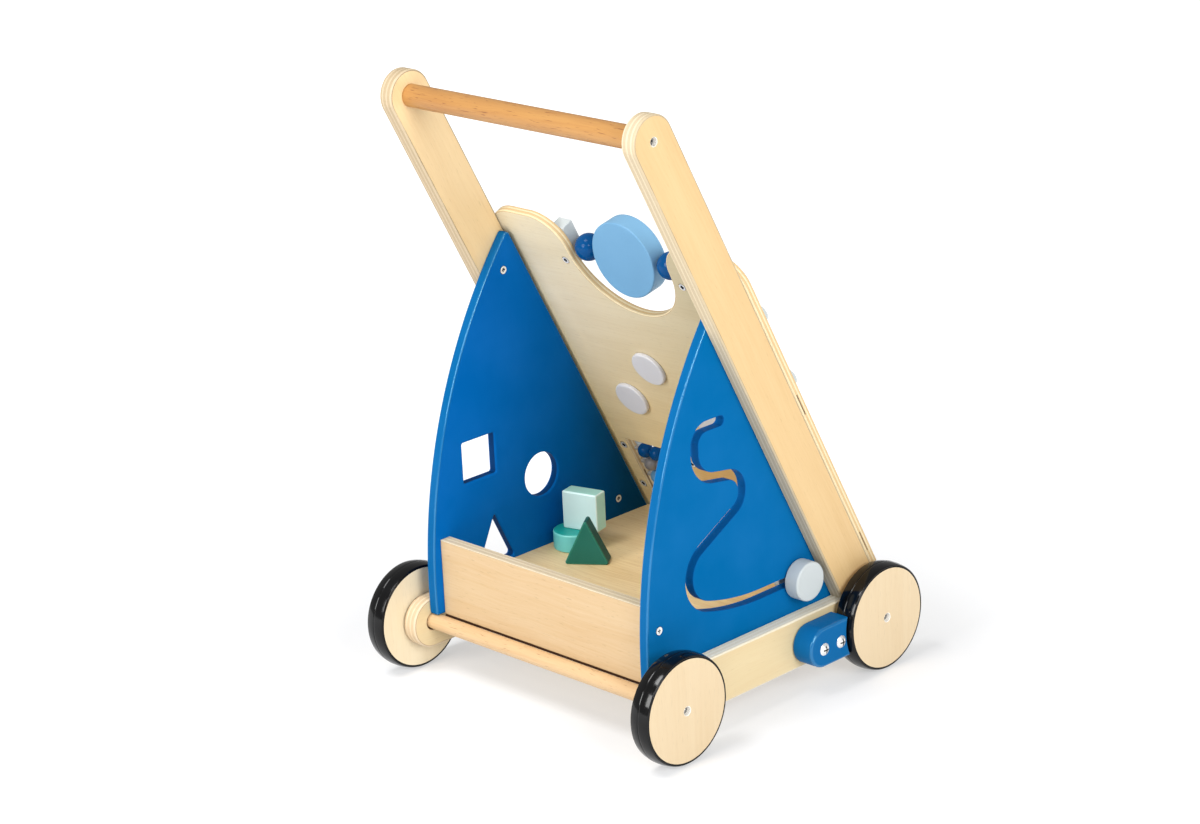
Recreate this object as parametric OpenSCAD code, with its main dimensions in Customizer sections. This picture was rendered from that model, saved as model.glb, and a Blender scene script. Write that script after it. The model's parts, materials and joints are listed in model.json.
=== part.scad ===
// Wooden push walker for a toddler: two plywood side frames, painted side
// panels (one a shape sorter, one a finger maze), a sloping activity board,
// a tray with three loose blocks, and four wheels on two turning axles.
// Frame: X across, +X the maze side; Y forward, the way it is pushed;
// Z up; the origin is on the floor under the middle.

/* [Overall] */
// Slope of the arms and the board from the floor, in degrees
arm_slope = 62.5; // [61:0.5:64]
// Height of the handle's axis above the floor
handle_z = 435; // [432:0.5:438]
// Distance of the handle's axis behind the middle
handle_back = 94.3; // [93:0.1:96]
// Half the width over the outer faces of the arms
half_w = 124.5; // [124:0.5:126]

/* [Side frames] */
// Thickness of the plywood of the arms and rails
ply_t = 12; // [11:0.5:13]
// Width of the arms
arm_w = 37; // [36:0.5:37]
// Height of the rails
rail_h = 38; // [36:1:40]
// Height of the middle of the rails above the floor
rail_z = 39; // [38:0.5:40]
// Thickness of the painted side panels
panel_t = 8; // [8:0.5:9]
// Diameter of the handle bar
handle_d = 16.6; // [15:0.2:18]

/* [Wheels] */
// Radius over the tyres, which is the height of the axles
tyre_r = 40.5; // [39:0.5:41]
// Thickness of the rubber tyre
tyre_t = 2.2; // [2:0.1:3]
// Width of the wheels
wheel_w = 16.5; // [16:0.5:18]
// Half the distance between the axles
axle_y = 106; // [105:0.5:107]
// Diameter of the axle dowels
axle_d = 12; // [11:0.5:13]

/* [Activity board] */
// Thickness of the board
board_t = 6.5; // [6:0.5:7]
// Top edge of the board, measured down the slope from the handle
board_top = 120; // [119:0.5:121]
// Bottom edge of the board, measured down the slope from the handle
board_end = 432; // [430:1:434]
// Radius of the round cut-out at the top
cut_r = 50.5; // [50:0.5:51]
// Radius of the spinner's disc
spin_r = 29.8; // [28:0.1:30]
// Number of teeth on each gear
teeth = 10; // [10:1:10]
// Pitch radius of the gears
gear_r = 27.25; // [27.25:0.01:27.25]

/* [Tray and blocks] */
// Height of the tray's top face
tray_z = 68.5; // [68:0.5:69]
// Top of the lip at the back of the tray
lip_z = 104.6; // [104:0.1:107]
// Thickness of the shape blocks
block_t = 14; // [13:0.5:14]
// Width of the maze's slot
slot_w = 7.5; // [7.5:0.1:8]

/* [Hidden] */
$fn = 96;
handle_y = -handle_back;
axle_z = tyre_r;
rail_top = rail_z + rail_h/2;
arm_in = half_w - ply_t;             // inner face of arms and rails
panel_in = arm_in - panel_t;         // inner face of the panels
hub_r = tyre_r - tyre_t;             // wooden wheel
wheel_in = half_w + 2.75;            // inner face of the wheels
axle_off = 1.75;                     // the axles rest to one side in their end play
wheel_out = wheel_in + wheel_w;
axle_end = wheel_in + 10;
bn = arm_w/2;                        // back face of the board
bf = bn + board_t;                   // front face of the board
panel_edge = bn - 2.5;               // front edge of the panels
floor_t = 8;
groove = 3;                          // floor's tongue in panels and lip
lip_y0 = -101.5;
lip_y1 = -91.5;
lip_bot = 44.8;
lip_bevel = 1.8;
lip_fix = -96.5;
gap = 0.06;                          // fit of fixed round pieces
run = 0.08;                          // running fit of turning pieces

rod_n = bf + 5.3;                    // rods on the front, out from the slope line
rod_s = 152.5;                       // spinner's rod, down the slope
ball_x = 41;
ball_r = 10.3;
hold_t = 10.5;                       // holder blocks
hold_w = 13;
hold_x = 53;
knob_x = 102;                        // turning knobs on the board's front
knob_s = [188, 249];
knob_h = 12.8;
strip_x = [[-106, -93.5], [-34, -21.5]];
strip_fix = [-99.8, -27.8];
strip_s = [357.6, 399.4];
bead_s = [363, 377, 391];
bead_n = bf - 1.8;
bead_r = 6;
bead_pitch = 12.3;
bead_gap = 4.2;                      // from the window's edge to the first bead
win_x = [-93.5, -34];
win_s = [349, 404.5];
gear_xy = [[-21.4, 256], [-58.4, 296], [15.6, 296]];
gear_t = 8;
gear_n = bf + 0.6;
pin_r = 4;

knob_y = 46;
knob_z = 82.6;
brake_y = [39.9, 58];
brake_z = 37.9;
brake_fix = 36.7;
brake_r = 15;
brake_t = 18;

birch = [0.90, 0.80, 0.62];
beech = [0.80, 0.55, 0.36];
blue = [0.08, 0.40, 0.70];
navy = [0.03, 0.22, 0.45];
sky = [0.48, 0.69, 0.85];
grey = [0.80, 0.83, 0.85];
steel = [0.75, 0.75, 0.74];
black = [0.06, 0.06, 0.07];

// ---- places and strokes

// outline in Y and Z, drawn out along X
module yz(t) { rotate([90, 0, 90]) linear_extrude(height = t) children(); }
// x, then s down the slope, then n out of the board's front
module slope() { translate([0, handle_y, handle_z]) rotate([-arm_slope, 0, 0]) children(); }
module left() { mirror([1, 0, 0]) children(); }
// cylinder along X from x0 to x1
module xcyl(r, x0, x1, y, z) { translate([x0, y, z]) rotate([0, 90, 0]) cylinder(r = r, h = x1 - x0); }
module rect(x0, x1, y0, y1) { translate([x0, y0]) square([x1 - x0, y1 - y0]); }
// rectangle with rounded corners, from straight pieces and circles
module rrect(x0, x1, y0, y1, r) {
  rect(x0 + r, x1 - r, y0, y1);
  rect(x0, x1, y0 + r, y1 - r);
  for (x = [x0 + r, x1 - r], y = [y0 + r, y1 - r]) translate([x, y]) circle(r);
}
// band of width w and middle radius r from angle a, turning by t
module band(r, w, a, t) {
  intersection() {
    difference() { circle(r + w/2); circle(r - w/2); }
    polygon(concat([[0, 0]], [for (i = [0:8]) 3*r*[cos(a + t*i/8), sin(a + t*i/8)]]));
  }
}
// a pen of width w that starts at p with heading h: [length] goes straight, [radius, turn] curves
// each stroke's end is round and a hair wider, which closes the joints between them
module strokes(p, h, list, w, i = 0) {
  translate(p) circle(w/2 + 0.02);
  if (i < len(list)) {
    q = list[i];
    if (len(q) == 1) {
      translate(p) rotate(h) translate([0, -w/2]) square([q[0], w]);
      strokes(p + q[0]*[cos(h), sin(h)], h, list, w, i + 1);
    } else {
      d = sign(q[1]);
      c = p + q[0]*[cos(h + 90*d), sin(h + 90*d)];
      translate(c) band(q[0], w, h - 90*d, q[1]);
      strokes(c + q[0]*[cos(h - 90*d + q[1]), sin(h - 90*d + q[1])], h + q[1], list, w, i + 1);
    }
  }
}

// ---- fasteners: the head's face at z = 0, driven towards +z

module cross_slot(r, d) {
  for (a = [0, 90]) rotate(a) translate([-r, -0.5, -0.01]) cube([2*r, 1, d]);
}
module flat_screw(len, r = 1.6, head = 2.9) {
  difference() {
    union() {
      cylinder(r1 = head, r2 = r, h = 1.8);
      translate([0, 0, 1]) cylinder(r = r, h = len - 1);
    }
    cross_slot(1.6, 1);
  }
}
module flat_hole(len, r = 1.6, head = 2.9) {
  cylinder(r1 = head + gap + 0.02, r2 = r + gap, h = 1.82);
  translate([0, 0, -3]) cylinder(r = head + gap + 0.02, h = 3.001);
  translate([0, 0, 0.5]) cylinder(r = r + gap, h = len - 0.2);
}
module pan_screw(len, r, head, h) {
  difference() {
    union() {
      translate([0, 0, -h]) rotate_extrude() intersection() {
        translate([0, h*2.6]) circle(h*2.6);
        rect(0, head, 0, h);
      }
      translate([0, 0, -0.01]) cylinder(r = r, h = len);
    }
    translate([0, 0, -h - 0.01]) cross_slot(head*0.55, h*0.6);
  }
}

// ---- side frames

module arm_blank() {
  translate([arm_in, 0, 0]) yz(ply_t) difference() {
    translate([handle_y, handle_z]) rotate(-arm_slope) {
      circle(d = arm_w);
      translate([0, -arm_w/2]) square([480, arm_w]);
    }
    translate([-300, -300]) square([900, 300 + rail_top]);
  }
}
// screws through the panel into the arm, down the slope and out from its middle
arm_fix = [[160, -3], [395, -5]];
rail_fix = [[-72, 36], [-20, 36], [22, 36], [78, 36]];
board_fix = [150, 232, 314, 396];

module arm_cut() {
  difference() {
    arm_blank();
    xcyl(handle_d/2 + gap, arm_in - 1, arm_in + 6, handle_y, handle_z);
    translate([half_w - 3.5, handle_y, handle_z]) rotate([0, -90, 0]) flat_hole(24);
    slope() for (p = arm_fix) translate([panel_in, p[0], p[1]]) rotate([0, 90, 0]) flat_hole(18.5);
    slope() for (s = board_fix) translate([half_w - 6, s, bf]) rotate([180, 0, 0]) flat_hole(24);
  }
}
module arm_right() { color(birch) arm_cut(); }
module arm_left() { color(birch) left() arm_cut(); }

module rail_cut() {
  difference() {
    translate([arm_in, 0, 0]) yz(ply_t) {
      rect(-axle_y, axle_y, rail_z - rail_h/2, rail_top);
      for (y = [-axle_y, axle_y]) translate([y, rail_z]) circle(d = rail_h);
    }
    for (y = [-axle_y, axle_y]) xcyl(axle_d/2 + run, arm_in - 1, half_w + 1, y, axle_z);
    for (y = [-axle_y, axle_y]) translate([arm_in - 0.01, y, axle_z]) rotate([0, 90, 0]) cylinder(r1 = axle_d/2 + 1, r2 = axle_d/2, h = 1);
    for (p = rail_fix) translate([panel_in, p[0], p[1]]) rotate([0, 90, 0]) flat_hole(18.5);
    for (y = brake_y) xcyl(2 + gap, half_w - 11.2, half_w + 1, y, brake_fix);
  }
}
module rail_right() { color(birch) rail_cut(); }
module rail_left() { color(birch) left() rail_cut(); }

module handle_bar() {
  color(beech) difference() {
    xcyl(handle_d/2, -arm_in - 5.9, arm_in + 5.9, handle_y, handle_z);
    for (m = [0, 1]) mirror([m, 0, 0]) translate([half_w - 3.5, handle_y, handle_z]) rotate([0, -90, 0]) flat_hole(24);
  }
}
module handle_screws() {
  color(steel) for (m = [0, 1]) mirror([m, 0, 0])
    translate([half_w - 3.5, handle_y, handle_z]) rotate([0, -90, 0]) flat_screw(23);
}

// ---- side panels: a sail with a straight front edge and a round back edge

sail_c = [295.1, 64.9];
sail_r = 404.3;
module sail() {
  intersection() {
    translate(sail_c) circle(sail_r, $fn = 360);
    translate([handle_y, handle_z]) rotate(-arm_slope) rect(40, 520, -330, panel_edge);
    union() {
      rect(-200, 200, 46.9, 400);
      rect(-86, 86, 24, 50);
    }
  }
}
module panel_blank() {
  difference() {
    translate([panel_in, 0, 0]) yz(panel_t) sail();
    translate([panel_in - 1, lip_y1 - groove, tray_z - floor_t - 0.05]) cube([groove + 1, 230, floor_t + 0.1]);
    slope() for (p = arm_fix) translate([panel_in, p[0], p[1]]) rotate([0, 90, 0]) flat_hole(18.5);
    for (p = rail_fix) translate([panel_in, p[0], p[1]]) rotate([0, 90, 0]) flat_hole(18.5);
    for (z = [56, 88]) translate([arm_in, lip_fix, z]) rotate([0, -90, 0]) flat_hole(30);
  }
}
// the maze: one slot from its top end to the knob's resting place
maze_p = [-28.316, 222.369];
maze = [[13.8], [12.8, 90], [5.6], [20.9, 80.9], [16.7], [14.4, -143.1], [40.7], [23.9, 135.5], [192.5, 16.7], [40.4]];
module side_panel_right() {
  color(blue) difference() {
    panel_blank();
    translate([panel_in - 1, 0, 0]) yz(panel_t + 2) {
      strokes(maze_p, 180, maze, slot_w);
    }
  }
}
tri_base = 37;
tri_h = 38.5;
module triangle(b, h) { polygon([[-b/2, 0], [b/2, 0], [0, h]]); }
module side_panel_left() {
  color(blue) difference() {
    left() panel_blank();
    translate([-arm_in - 1, 0, 0]) yz(panel_t + 2) {
      translate([-58, 155.8]) square([32.5, 31.5], center = true);
      translate([4, 125.5]) circle(d = 34);
      translate([-46, 70.5]) triangle(tri_base, tri_h);
    }
  }
}
module panel_screws() {
  color(steel) for (m = [0, 1]) mirror([m, 0, 0]) {
    slope() for (p = arm_fix) translate([panel_in, p[0], p[1]]) rotate([0, 90, 0]) flat_screw(18);
    for (p = rail_fix) translate([panel_in, p[0], p[1]]) rotate([0, 90, 0]) flat_screw(18);
  }
}

// ---- tray

module rear_lip() {
  color(birch) difference() {
    translate([-panel_in, lip_y0, lip_bot]) cube([2*panel_in, lip_y1 - lip_y0, lip_z - lip_bot]);
    translate([-200, lip_y1 - groove, tray_z - floor_t - 0.05]) cube([400, 20, floor_t + 0.1]);
    // bevel over the rear axle
    translate([-200, lip_y0 + lip_bevel, lip_bot]) rotate([135, 0, 0]) translate([0, -10, 0]) cube([400, 20, 10]);
    for (m = [0, 1], z = [56, 88]) mirror([m, 0, 0]) translate([arm_in, lip_fix, z]) rotate([0, -90, 0]) flat_hole(30);
  }
}
module lip_screws() {
  color(steel) for (m = [0, 1], z = [56, 88]) mirror([m, 0, 0])
    translate([arm_in, lip_fix, z]) rotate([0, -90, 0]) flat_screw(29);
}
module tray_floor() {
  color(birch) translate([-panel_in - groove + 0.1, lip_y1 - groove + 0.1, tray_z - floor_t])
    cube([2*(panel_in + groove) - 0.2, 210, floor_t]);
}

// ---- activity board, in the sloping frame

module board_outline() {
  difference() {
    union() {
      rrect(-124, 124, board_top, 260, 26);
      rrect(-124, 124, 220, board_end, 5);
    }
    translate([0, 148]) circle(cut_r);
    rect(-cut_r, cut_r, board_top - 5, 148);
    for (m = [-1, 1]) difference() {
      rect(min(m*cut_r, m*(cut_r + 28)), max(m*cut_r, m*(cut_r + 28)), board_top - 5, 148);
      translate([m*(cut_r + 28), 148]) circle(28);
    }
    rect(win_x[0], win_x[1], win_s[0], win_s[1]);
  }
}
// every screw that is driven from the board's back
back_fix = concat(
  [for (m = [-1, 1]) [m*58, 158.8]],
  [for (x = strip_fix, s = strip_s) [x, s]]);
module activity_board() {
  color(birch) slope() difference() {
    translate([0, 0, bn]) linear_extrude(height = board_t) board_outline();
    for (g = gear_xy) translate([g[0], g[1], bn - 1]) cylinder(r = pin_r + run, h = board_t + 2);
    for (p = back_fix) translate([p[0], p[1], bn]) flat_hole(20);
    for (m = [-1, 1], s = board_fix) translate([m*(half_w - 6), s, bf]) rotate([180, 0, 0]) flat_hole(24);
    for (s = bead_s) translate([-104.1, s - 1.8, bead_n - 1.8]) cube([80.7, 3.6, 6]);
    for (s = knob_s) translate([knob_x, s, bf - 5.3]) cylinder(r = 2 + gap, h = 9);
  }
}
module board_screws() {
  color(steel) slope() for (m = [-1, 1], s = board_fix)
    translate([m*(half_w - 6), s, bf]) rotate([180, 0, 0]) flat_screw(23.5);
}
module holder_screws() {
  color(steel) slope() for (p = back_fix)
    translate([p[0], p[1], bn]) flat_screw(p[1] > 300 ? 11.5 : 14);
}

// spinner over the round cut-out
module spinner_holder() {
  slope() difference() {
    translate([hold_x, 133, bf]) cube([hold_w, 33, hold_t]);
    translate([hold_x - 1, rod_s, rod_n]) rotate([0, 90, 0]) cylinder(r = 2.5 + gap, h = 8);
    translate([58, 158.8, bn]) flat_hole(14.3);
  }
}
module spinner_holder_right() { color(grey) spinner_holder(); }
module spinner_holder_left() { color(grey) left() spinner_holder(); }
module spinner_rod() {
  color(birch) slope() translate([-hold_x - 6.9, rod_s, rod_n]) rotate([0, 90, 0]) cylinder(r = 2.5, h = 2*(hold_x + 6.9));
}
// the disc stands a little out of upright, as it was left
disc_tilt = -76.9 + arm_slope;
disc_t = 14.6;
module spinner_disc() {
  color(sky) slope() translate([0, rod_s, rod_n]) rotate([disc_tilt, 0, 0]) difference() {
    rotate_extrude() {
      rect(0, spin_r - 1, -disc_t/2, disc_t/2);
      rect(0, spin_r, -disc_t/2 + 1, disc_t/2 - 1);
      for (m = [-1, 1]) translate([spin_r - 1, m*(disc_t/2 - 1)]) intersection() { circle(1); rect(0, 2, -2, 2); }
    }
    translate([-40, 0, 0]) rotate([0, 90, 0]) cylinder(r = 2.5 + run, h = 80);
  }
}
// ball or bead with a bore along X, turned in one piece
module bored_ball(r, bore) {
  rotate([0, 90, 0]) rotate_extrude() intersection() {
    circle(r);
    rect(bore, r + 1, -r - 1, r + 1);
  }
}
module spinner_ball() {
  slope() translate([ball_x, rod_s, rod_n]) bored_ball(ball_r, 2.5 + run);
}
module spinner_ball_right() { color(navy) spinner_ball(); }
module spinner_ball_left() { color(navy) left() spinner_ball(); }

// two turned knobs, each on a screw into the board
module turning_knob(s) {
  slope() translate([knob_x, s, bf + 0.4]) difference() {
    rotate_extrude() {
      rect(0, 11, 0, 3);
      rect(0, 12, 0, 2);
      rect(0, 8, 0, knob_h - 1.5);
      rect(0, 6.5, 0, knob_h);
      translate([11, 2]) intersection() { circle(1); rect(0, 2, -2, 2); }
      translate([6.5, knob_h - 1.5]) intersection() { circle(1.5); rect(0, 2, -2, 2); }
    }
    translate([0, 0, -1]) cylinder(r = 2 + run, h = 20);
    translate([0, 0, knob_h - 3]) cylinder(r = 4.3, h = 4);
  }
}
module knob_upper() { color(grey) turning_knob(knob_s[0]); }
module knob_lower() { color(grey) turning_knob(knob_s[1]); }
module knob_screws() {
  color(steel) slope() for (s = knob_s)
    translate([knob_x, s, bf + knob_h - 2.3]) rotate([180, 0, 0]) pan_screw(knob_h + 2.9, 2, 3.8, 2);
}

// beads on three rods in the lower window
module bead_strip(i) {
  slope() difference() {
    translate([0, 0, bf]) linear_extrude(height = 6) rect(strip_x[i][0], strip_x[i][1], 348, 405.5);
    for (s = strip_s) translate([strip_fix[i], s, bn]) flat_hole(11.8);
  }
}
module bead_strip_left() { color(grey) bead_strip(0); }
module bead_strip_right() { color(grey) bead_strip(1); }
module bead_rods() {
  color(steel) slope() for (s = bead_s)
    translate([-104, s, bead_n]) rotate([0, 90, 0]) cylinder(r = 1.75, h = 80.5);
}
module bead_row(s) {
  slope() for (i = [0:2]) translate([win_x[0] + bead_gap + bead_r + i*bead_pitch, s, bead_n])
    bored_ball(bead_r, 1.75 + run, $fn = 64);
}
module beads_upper() { color(navy) bead_row(bead_s[0]); }
module beads_middle() { color(grey) bead_row(bead_s[1]); }
module beads_lower() { color(sky) bead_row(bead_s[2]); }

// three toothed wheels in mesh, each turning with a disc at the back
function inv(a) = tan(a)*180/PI - a;
press = 25;
base_r = gear_r*cos(press);
tip_r = gear_r + 4.3;
root_r = gear_r - 5.6;
half_tooth = (PI*gear_r/teeth - 0.7)/2/gear_r*180/PI;
function flank(r) = half_tooth + inv(press) - (r > base_r ? inv(acos(base_r/r)) : 0);
flank_r = [for (i = [0:5]) base_r + 0.01 + (tip_r - base_r - 0.01)*i/5];
function tooth(a) = concat(
  [root_r*[cos(a - flank(base_r) - 1), sin(a - flank(base_r) - 1)]],
  [for (r = flank_r) r*[cos(a - flank(r)), sin(a - flank(r))]],
  [for (i = [5:-1:0]) flank_r[i]*[cos(a + flank(flank_r[i])), sin(a + flank(flank_r[i]))]],
  [root_r*[cos(a + flank(base_r) + 1), sin(a + flank(base_r) + 1)]]);
// the phase that puts a gap of gear i opposite a tooth of the top gear
function dir(i) = atan2(gear_xy[i][1] - gear_xy[0][1], gear_xy[i][0] - gear_xy[0][0]);
function phase(i) = i == 0 ? 7 : 2*dir(i) + 180 + 180/teeth - 7;
module gear(i) {
  slope() translate([gear_xy[i][0], gear_xy[i][1], gear_n]) difference() {
    linear_extrude(height = gear_t)
      polygon([for (k = [0:teeth - 1]) each tooth(phase(i) + k*360/teeth)]);
    translate([0, 0, -1]) cylinder(r = pin_r + gap, h = gear_t + 2);
  }
}
module gear_top() { color(sky) gear(0); }
module gear_left() { color(blue) gear(1); }
module gear_right() { color(navy) gear(2); }
// turned disc behind the board with its pin through to the gear
module gear_axle(i) {
  slope() translate([gear_xy[i][0], gear_xy[i][1], 0]) {
    translate([0, 0, bn - 3.3]) rotate_extrude() {
      rect(0, 13.8, 0, 3);
      rect(0, 15, 1.2, 3);
      translate([13.8, 1.2]) intersection() { circle(1.2); rect(0, 2, -2, 2); }
    }
    translate([0, 0, bn - 0.4]) cylinder(r = pin_r, h = gear_n + gear_t - bn + 0.4);
  }
}
module gear_axle_top() { color(grey) gear_axle(0); }
module gear_axle_left() { color(grey) gear_axle(1); }
module gear_axle_right() { color(grey) gear_axle(2); }

// ---- wheels

// an axle and all that is fixed to it, where they rest in the end play
module resting() { translate([axle_off, 0, 0]) children(); }

module axle(y) {
  color(beech) resting() difference() {
    xcyl(axle_d/2, -axle_end, axle_end, y, axle_z);
    for (m = [0, 1]) mirror([m, 0, 0]) translate([wheel_out - 3, y, axle_z]) rotate([0, -90, 0]) flat_hole(24);
  }
}
module rear_axle() { axle(-axle_y); }
module front_axle() { axle(axle_y); }

module wheel(y) {
  difference() {
    translate([wheel_in, y, axle_z]) rotate([0, 90, 0]) rotate_extrude() {
      rect(0, hub_r - 0.8, 0, wheel_w);
      rect(0, hub_r, 0.8, wheel_w - 0.8);
      for (z = [0.8, wheel_w - 0.8]) translate([hub_r - 0.8, z]) intersection() { circle(0.8); rect(0, 2, -2, 2); }
    }
    xcyl(axle_d/2 + 0.02, wheel_in - 1, axle_end + 0.1, y, axle_z);
    translate([wheel_out - 3, y, axle_z]) rotate([0, -90, 0]) flat_hole(24);
  }
}
module wheel_rear_right() { color(birch) resting() wheel(-axle_y); }
module wheel_front_right() { color(birch) resting() wheel(axle_y); }
module wheel_rear_left() { color(birch) resting() left() wheel(-axle_y); }
module wheel_front_left() { color(birch) resting() left() wheel(axle_y); }

// the tread is crowned: a wide arc across the wheel
crown_r = 26;
module tyre(y) {
  translate([wheel_in, y, axle_z]) rotate([0, 90, 0]) rotate_extrude() intersection() {
    rect(hub_r + 0.02, tyre_r + 1, 0.2, wheel_w - 0.2);
    translate([tyre_r - crown_r, wheel_w/2]) circle(crown_r);
  }
}
module tyre_rear_right() { color(black) resting() tyre(-axle_y); }
module tyre_front_right() { color(black) resting() tyre(axle_y); }
module tyre_rear_left() { color(black) resting() left() tyre(-axle_y); }
module tyre_front_left() { color(black) resting() left() tyre(axle_y); }

module wheel_screws(y) {
  color(steel) resting() for (m = [0, 1]) mirror([m, 0, 0])
    translate([wheel_out - 3, y, axle_z]) rotate([0, -90, 0]) flat_screw(23.5);
}
module rear_wheel_screws() { wheel_screws(-axle_y); }
module front_wheel_screws() { wheel_screws(axle_y); }

module washers(y) {
  color(grey) resting() for (m = [0, 1]) mirror([m, 0, 0]) difference() {
    xcyl(12, wheel_in - 0.75, wheel_in - 0.05, y, axle_z);
    xcyl(axle_d/2 + 0.04, half_w - 1, wheel_in + 1, y, axle_z);
  }
}
module rear_washers() { washers(-axle_y); }
module front_washers() { washers(axle_y); }

// ---- brakes: blocks that slide up to the front tyres on slotted holes

module brake_block() {
  difference() {
    translate([half_w + 0.1, 0, 0]) yz(brake_t) difference() {
      union() {
        translate([brake_y[0] + 0.4, brake_z]) circle(brake_r);
        rect(brake_y[0] + 0.4, 80, brake_z - brake_r, brake_z + brake_r);
      }
      translate([axle_y, axle_z]) circle(tyre_r + 0.7, $fn = 180);
    }
    translate([half_w - 1, 0, 0]) yz(brake_t + 2) for (y = brake_y) {
      rect(y - 0.3, y + 2.5, brake_fix - 2.3, brake_fix + 2.3);
      for (e = [-0.3, 2.5]) translate([y + e, brake_fix]) circle(2.3);
    }
  }
}
module brake_block_right() { color(blue) brake_block(); }
module brake_block_left() { color(blue) left() brake_block(); }
module brake_screws() {
  color(steel) for (m = [0, 1], y = brake_y) mirror([m, 0, 0])
    translate([half_w + brake_t + 0.15, y, brake_fix]) rotate([0, -90, 0]) pan_screw(29, 2, 5.1, 2.3);
}

// ---- maze

stem_r = slot_w/2 - 0.3;
module maze_stem() {
  color(grey) {
    xcyl(stem_r, panel_in - 4, arm_in + 0.5, knob_y, knob_z);
    xcyl(11, panel_in - 5.5, panel_in - 0.4, knob_y, knob_z);
    xcyl(2.5, arm_in, arm_in + 9, knob_y, knob_z);
  }
}
module maze_knob() {
  color(grey) difference() {
    translate([arm_in + 0.6, knob_y, knob_z]) rotate([0, 90, 0]) rotate_extrude() {
      rect(0, 13.2, 0, 12.6);
      rect(0, 14.7, 1.5, 11.1);
      for (z = [1.5, 11.1]) translate([13.2, z]) intersection() { circle(1.5); rect(0, 2, -2, 2); }
    }
    xcyl(2.5 + run, arm_in, arm_in + 9.2, knob_y, knob_z);
  }
}

// ---- loose blocks in the tray

round_p = [-85.3, 16];
module block_round() {
  color([0.05, 0.55, 0.55]) translate([round_p[0], round_p[1], tray_z + 0.02]) rotate_extrude() {
    rect(0, 15, 0, block_t);
    rect(0, 16, 1, block_t - 1);
    for (z = [1, block_t - 1]) translate([15, z]) intersection() { circle(1); rect(0, 2, -2, 2); }
  }
}
module block_square() {
  color([0.72, 0.87, 0.83]) translate([-80, 22.5, tray_z + block_t + 0.04]) rotate([0, 0, 14.5])
    translate([-15.1, -block_t/2, 0]) cube([30.2, block_t, 30]);
}
module block_triangle() {
  color([0.17, 0.42, 0.37]) translate([-54.4, -0.4, tray_z + 0.02]) rotate([0, 0, 34.7]) rotate([90, 0, 0])
    translate([0, 0, -block_t/2]) linear_extrude(height = block_t) triangle(34.4, 35.8);
}

arm_left();
arm_right();
handle_bar();
handle_screws();
rail_left();
rail_right();
side_panel_left();
side_panel_right();
panel_screws();
rear_lip();
lip_screws();
tray_floor();
activity_board();
board_screws();
rear_axle();
front_axle();
wheel_rear_left();
wheel_rear_right();
wheel_front_left();
wheel_front_right();
tyre_rear_left();
tyre_rear_right();
tyre_front_left();
tyre_front_right();
rear_wheel_screws();
front_wheel_screws();
rear_washers();
front_washers();
brake_block_left();
brake_block_right();
brake_screws();
maze_knob();
maze_stem();
spinner_rod();
spinner_disc();
spinner_ball_left();
spinner_ball_right();
spinner_holder_left();
spinner_holder_right();
knob_upper();
knob_lower();
knob_screws();
holder_screws();
bead_strip_left();
bead_strip_right();
bead_rods();
beads_upper();
beads_middle();
beads_lower();
gear_top();
gear_left();
gear_right();
gear_axle_top();
gear_axle_left();
gear_axle_right();
block_square();
block_round();
block_triangle();
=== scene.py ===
import json
import math

import bpy
from mathutils import Matrix, Vector
from mathutils.geometry import tessellate_polygon


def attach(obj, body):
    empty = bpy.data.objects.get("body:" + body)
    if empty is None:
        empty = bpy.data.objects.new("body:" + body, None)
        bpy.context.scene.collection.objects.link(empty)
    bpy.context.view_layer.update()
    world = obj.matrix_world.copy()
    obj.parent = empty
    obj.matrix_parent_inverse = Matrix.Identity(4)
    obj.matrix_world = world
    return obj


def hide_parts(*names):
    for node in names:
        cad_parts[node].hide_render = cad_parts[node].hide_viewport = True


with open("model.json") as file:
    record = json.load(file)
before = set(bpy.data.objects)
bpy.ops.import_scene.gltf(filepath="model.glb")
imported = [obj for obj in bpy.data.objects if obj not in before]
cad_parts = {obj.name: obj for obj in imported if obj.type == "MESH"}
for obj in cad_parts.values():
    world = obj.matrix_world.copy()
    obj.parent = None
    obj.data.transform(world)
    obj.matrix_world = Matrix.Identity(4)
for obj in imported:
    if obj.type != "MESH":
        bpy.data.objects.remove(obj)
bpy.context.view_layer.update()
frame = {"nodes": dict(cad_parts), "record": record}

NODES = frame["nodes"]
SLOT = {p["node"]: p.get("material_slot") for p in frame["record"]["subparts"]}
BODY = {n: b for b, ns in frame["record"]["behaviour"]["bodies"].items() for n in ns}
MM = 0.001

# ------------------------------------------------------------------ places
# The arms and the board share a slope. A point on it is x, s down the slope
# from the handle's axis, and n out of the slope towards the front.
SLOPE = math.radians(62.5)
HY, HZ = -94.3, 435.0
DV = Vector((0.0, math.cos(SLOPE), -math.sin(SLOPE)))
NV = Vector((0.0, math.sin(SLOPE), math.cos(SLOPE)))
XV = Vector((1.0, 0.0, 0.0))
YV = Vector((0.0, 1.0, 0.0))
ZV = Vector((0.0, 0.0, 1.0))
BN, BF = 18.5, 25.0          # back and front face of the board
HALF_W, ARM_IN, PANEL_IN = 124.5, 112.5, 104.5
AXLE_Y, AXLE_Z = 106.0, 40.5
AXLE_OFF = 1.75              # the axles rest to one side in their end play


def place(u, v, w, o=(0, 0, 0)):
    """Matrix that takes mm along u, v and w, from o in mm, to metres in the frame."""
    m = Matrix.Identity(4)
    for i, a in enumerate((u, v, w)):
        for k in range(3):
            m[k][i] = a[k] * MM
    for k in range(3):
        m[k][3] = o[k] * MM
    return m


YZ = place(YV, ZV, XV)
SN = place(XV, DV, NV, (0, HY, HZ))


def slope_pt(x, s, n):
    return Vector((x, HY, HZ)) + DV * s + NV * n


def sl(s, p):
    """Slope coordinates to Y and Z."""
    q = Vector((0, HY, HZ)) + DV * s + NV * p
    return (q.y, q.z)


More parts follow.
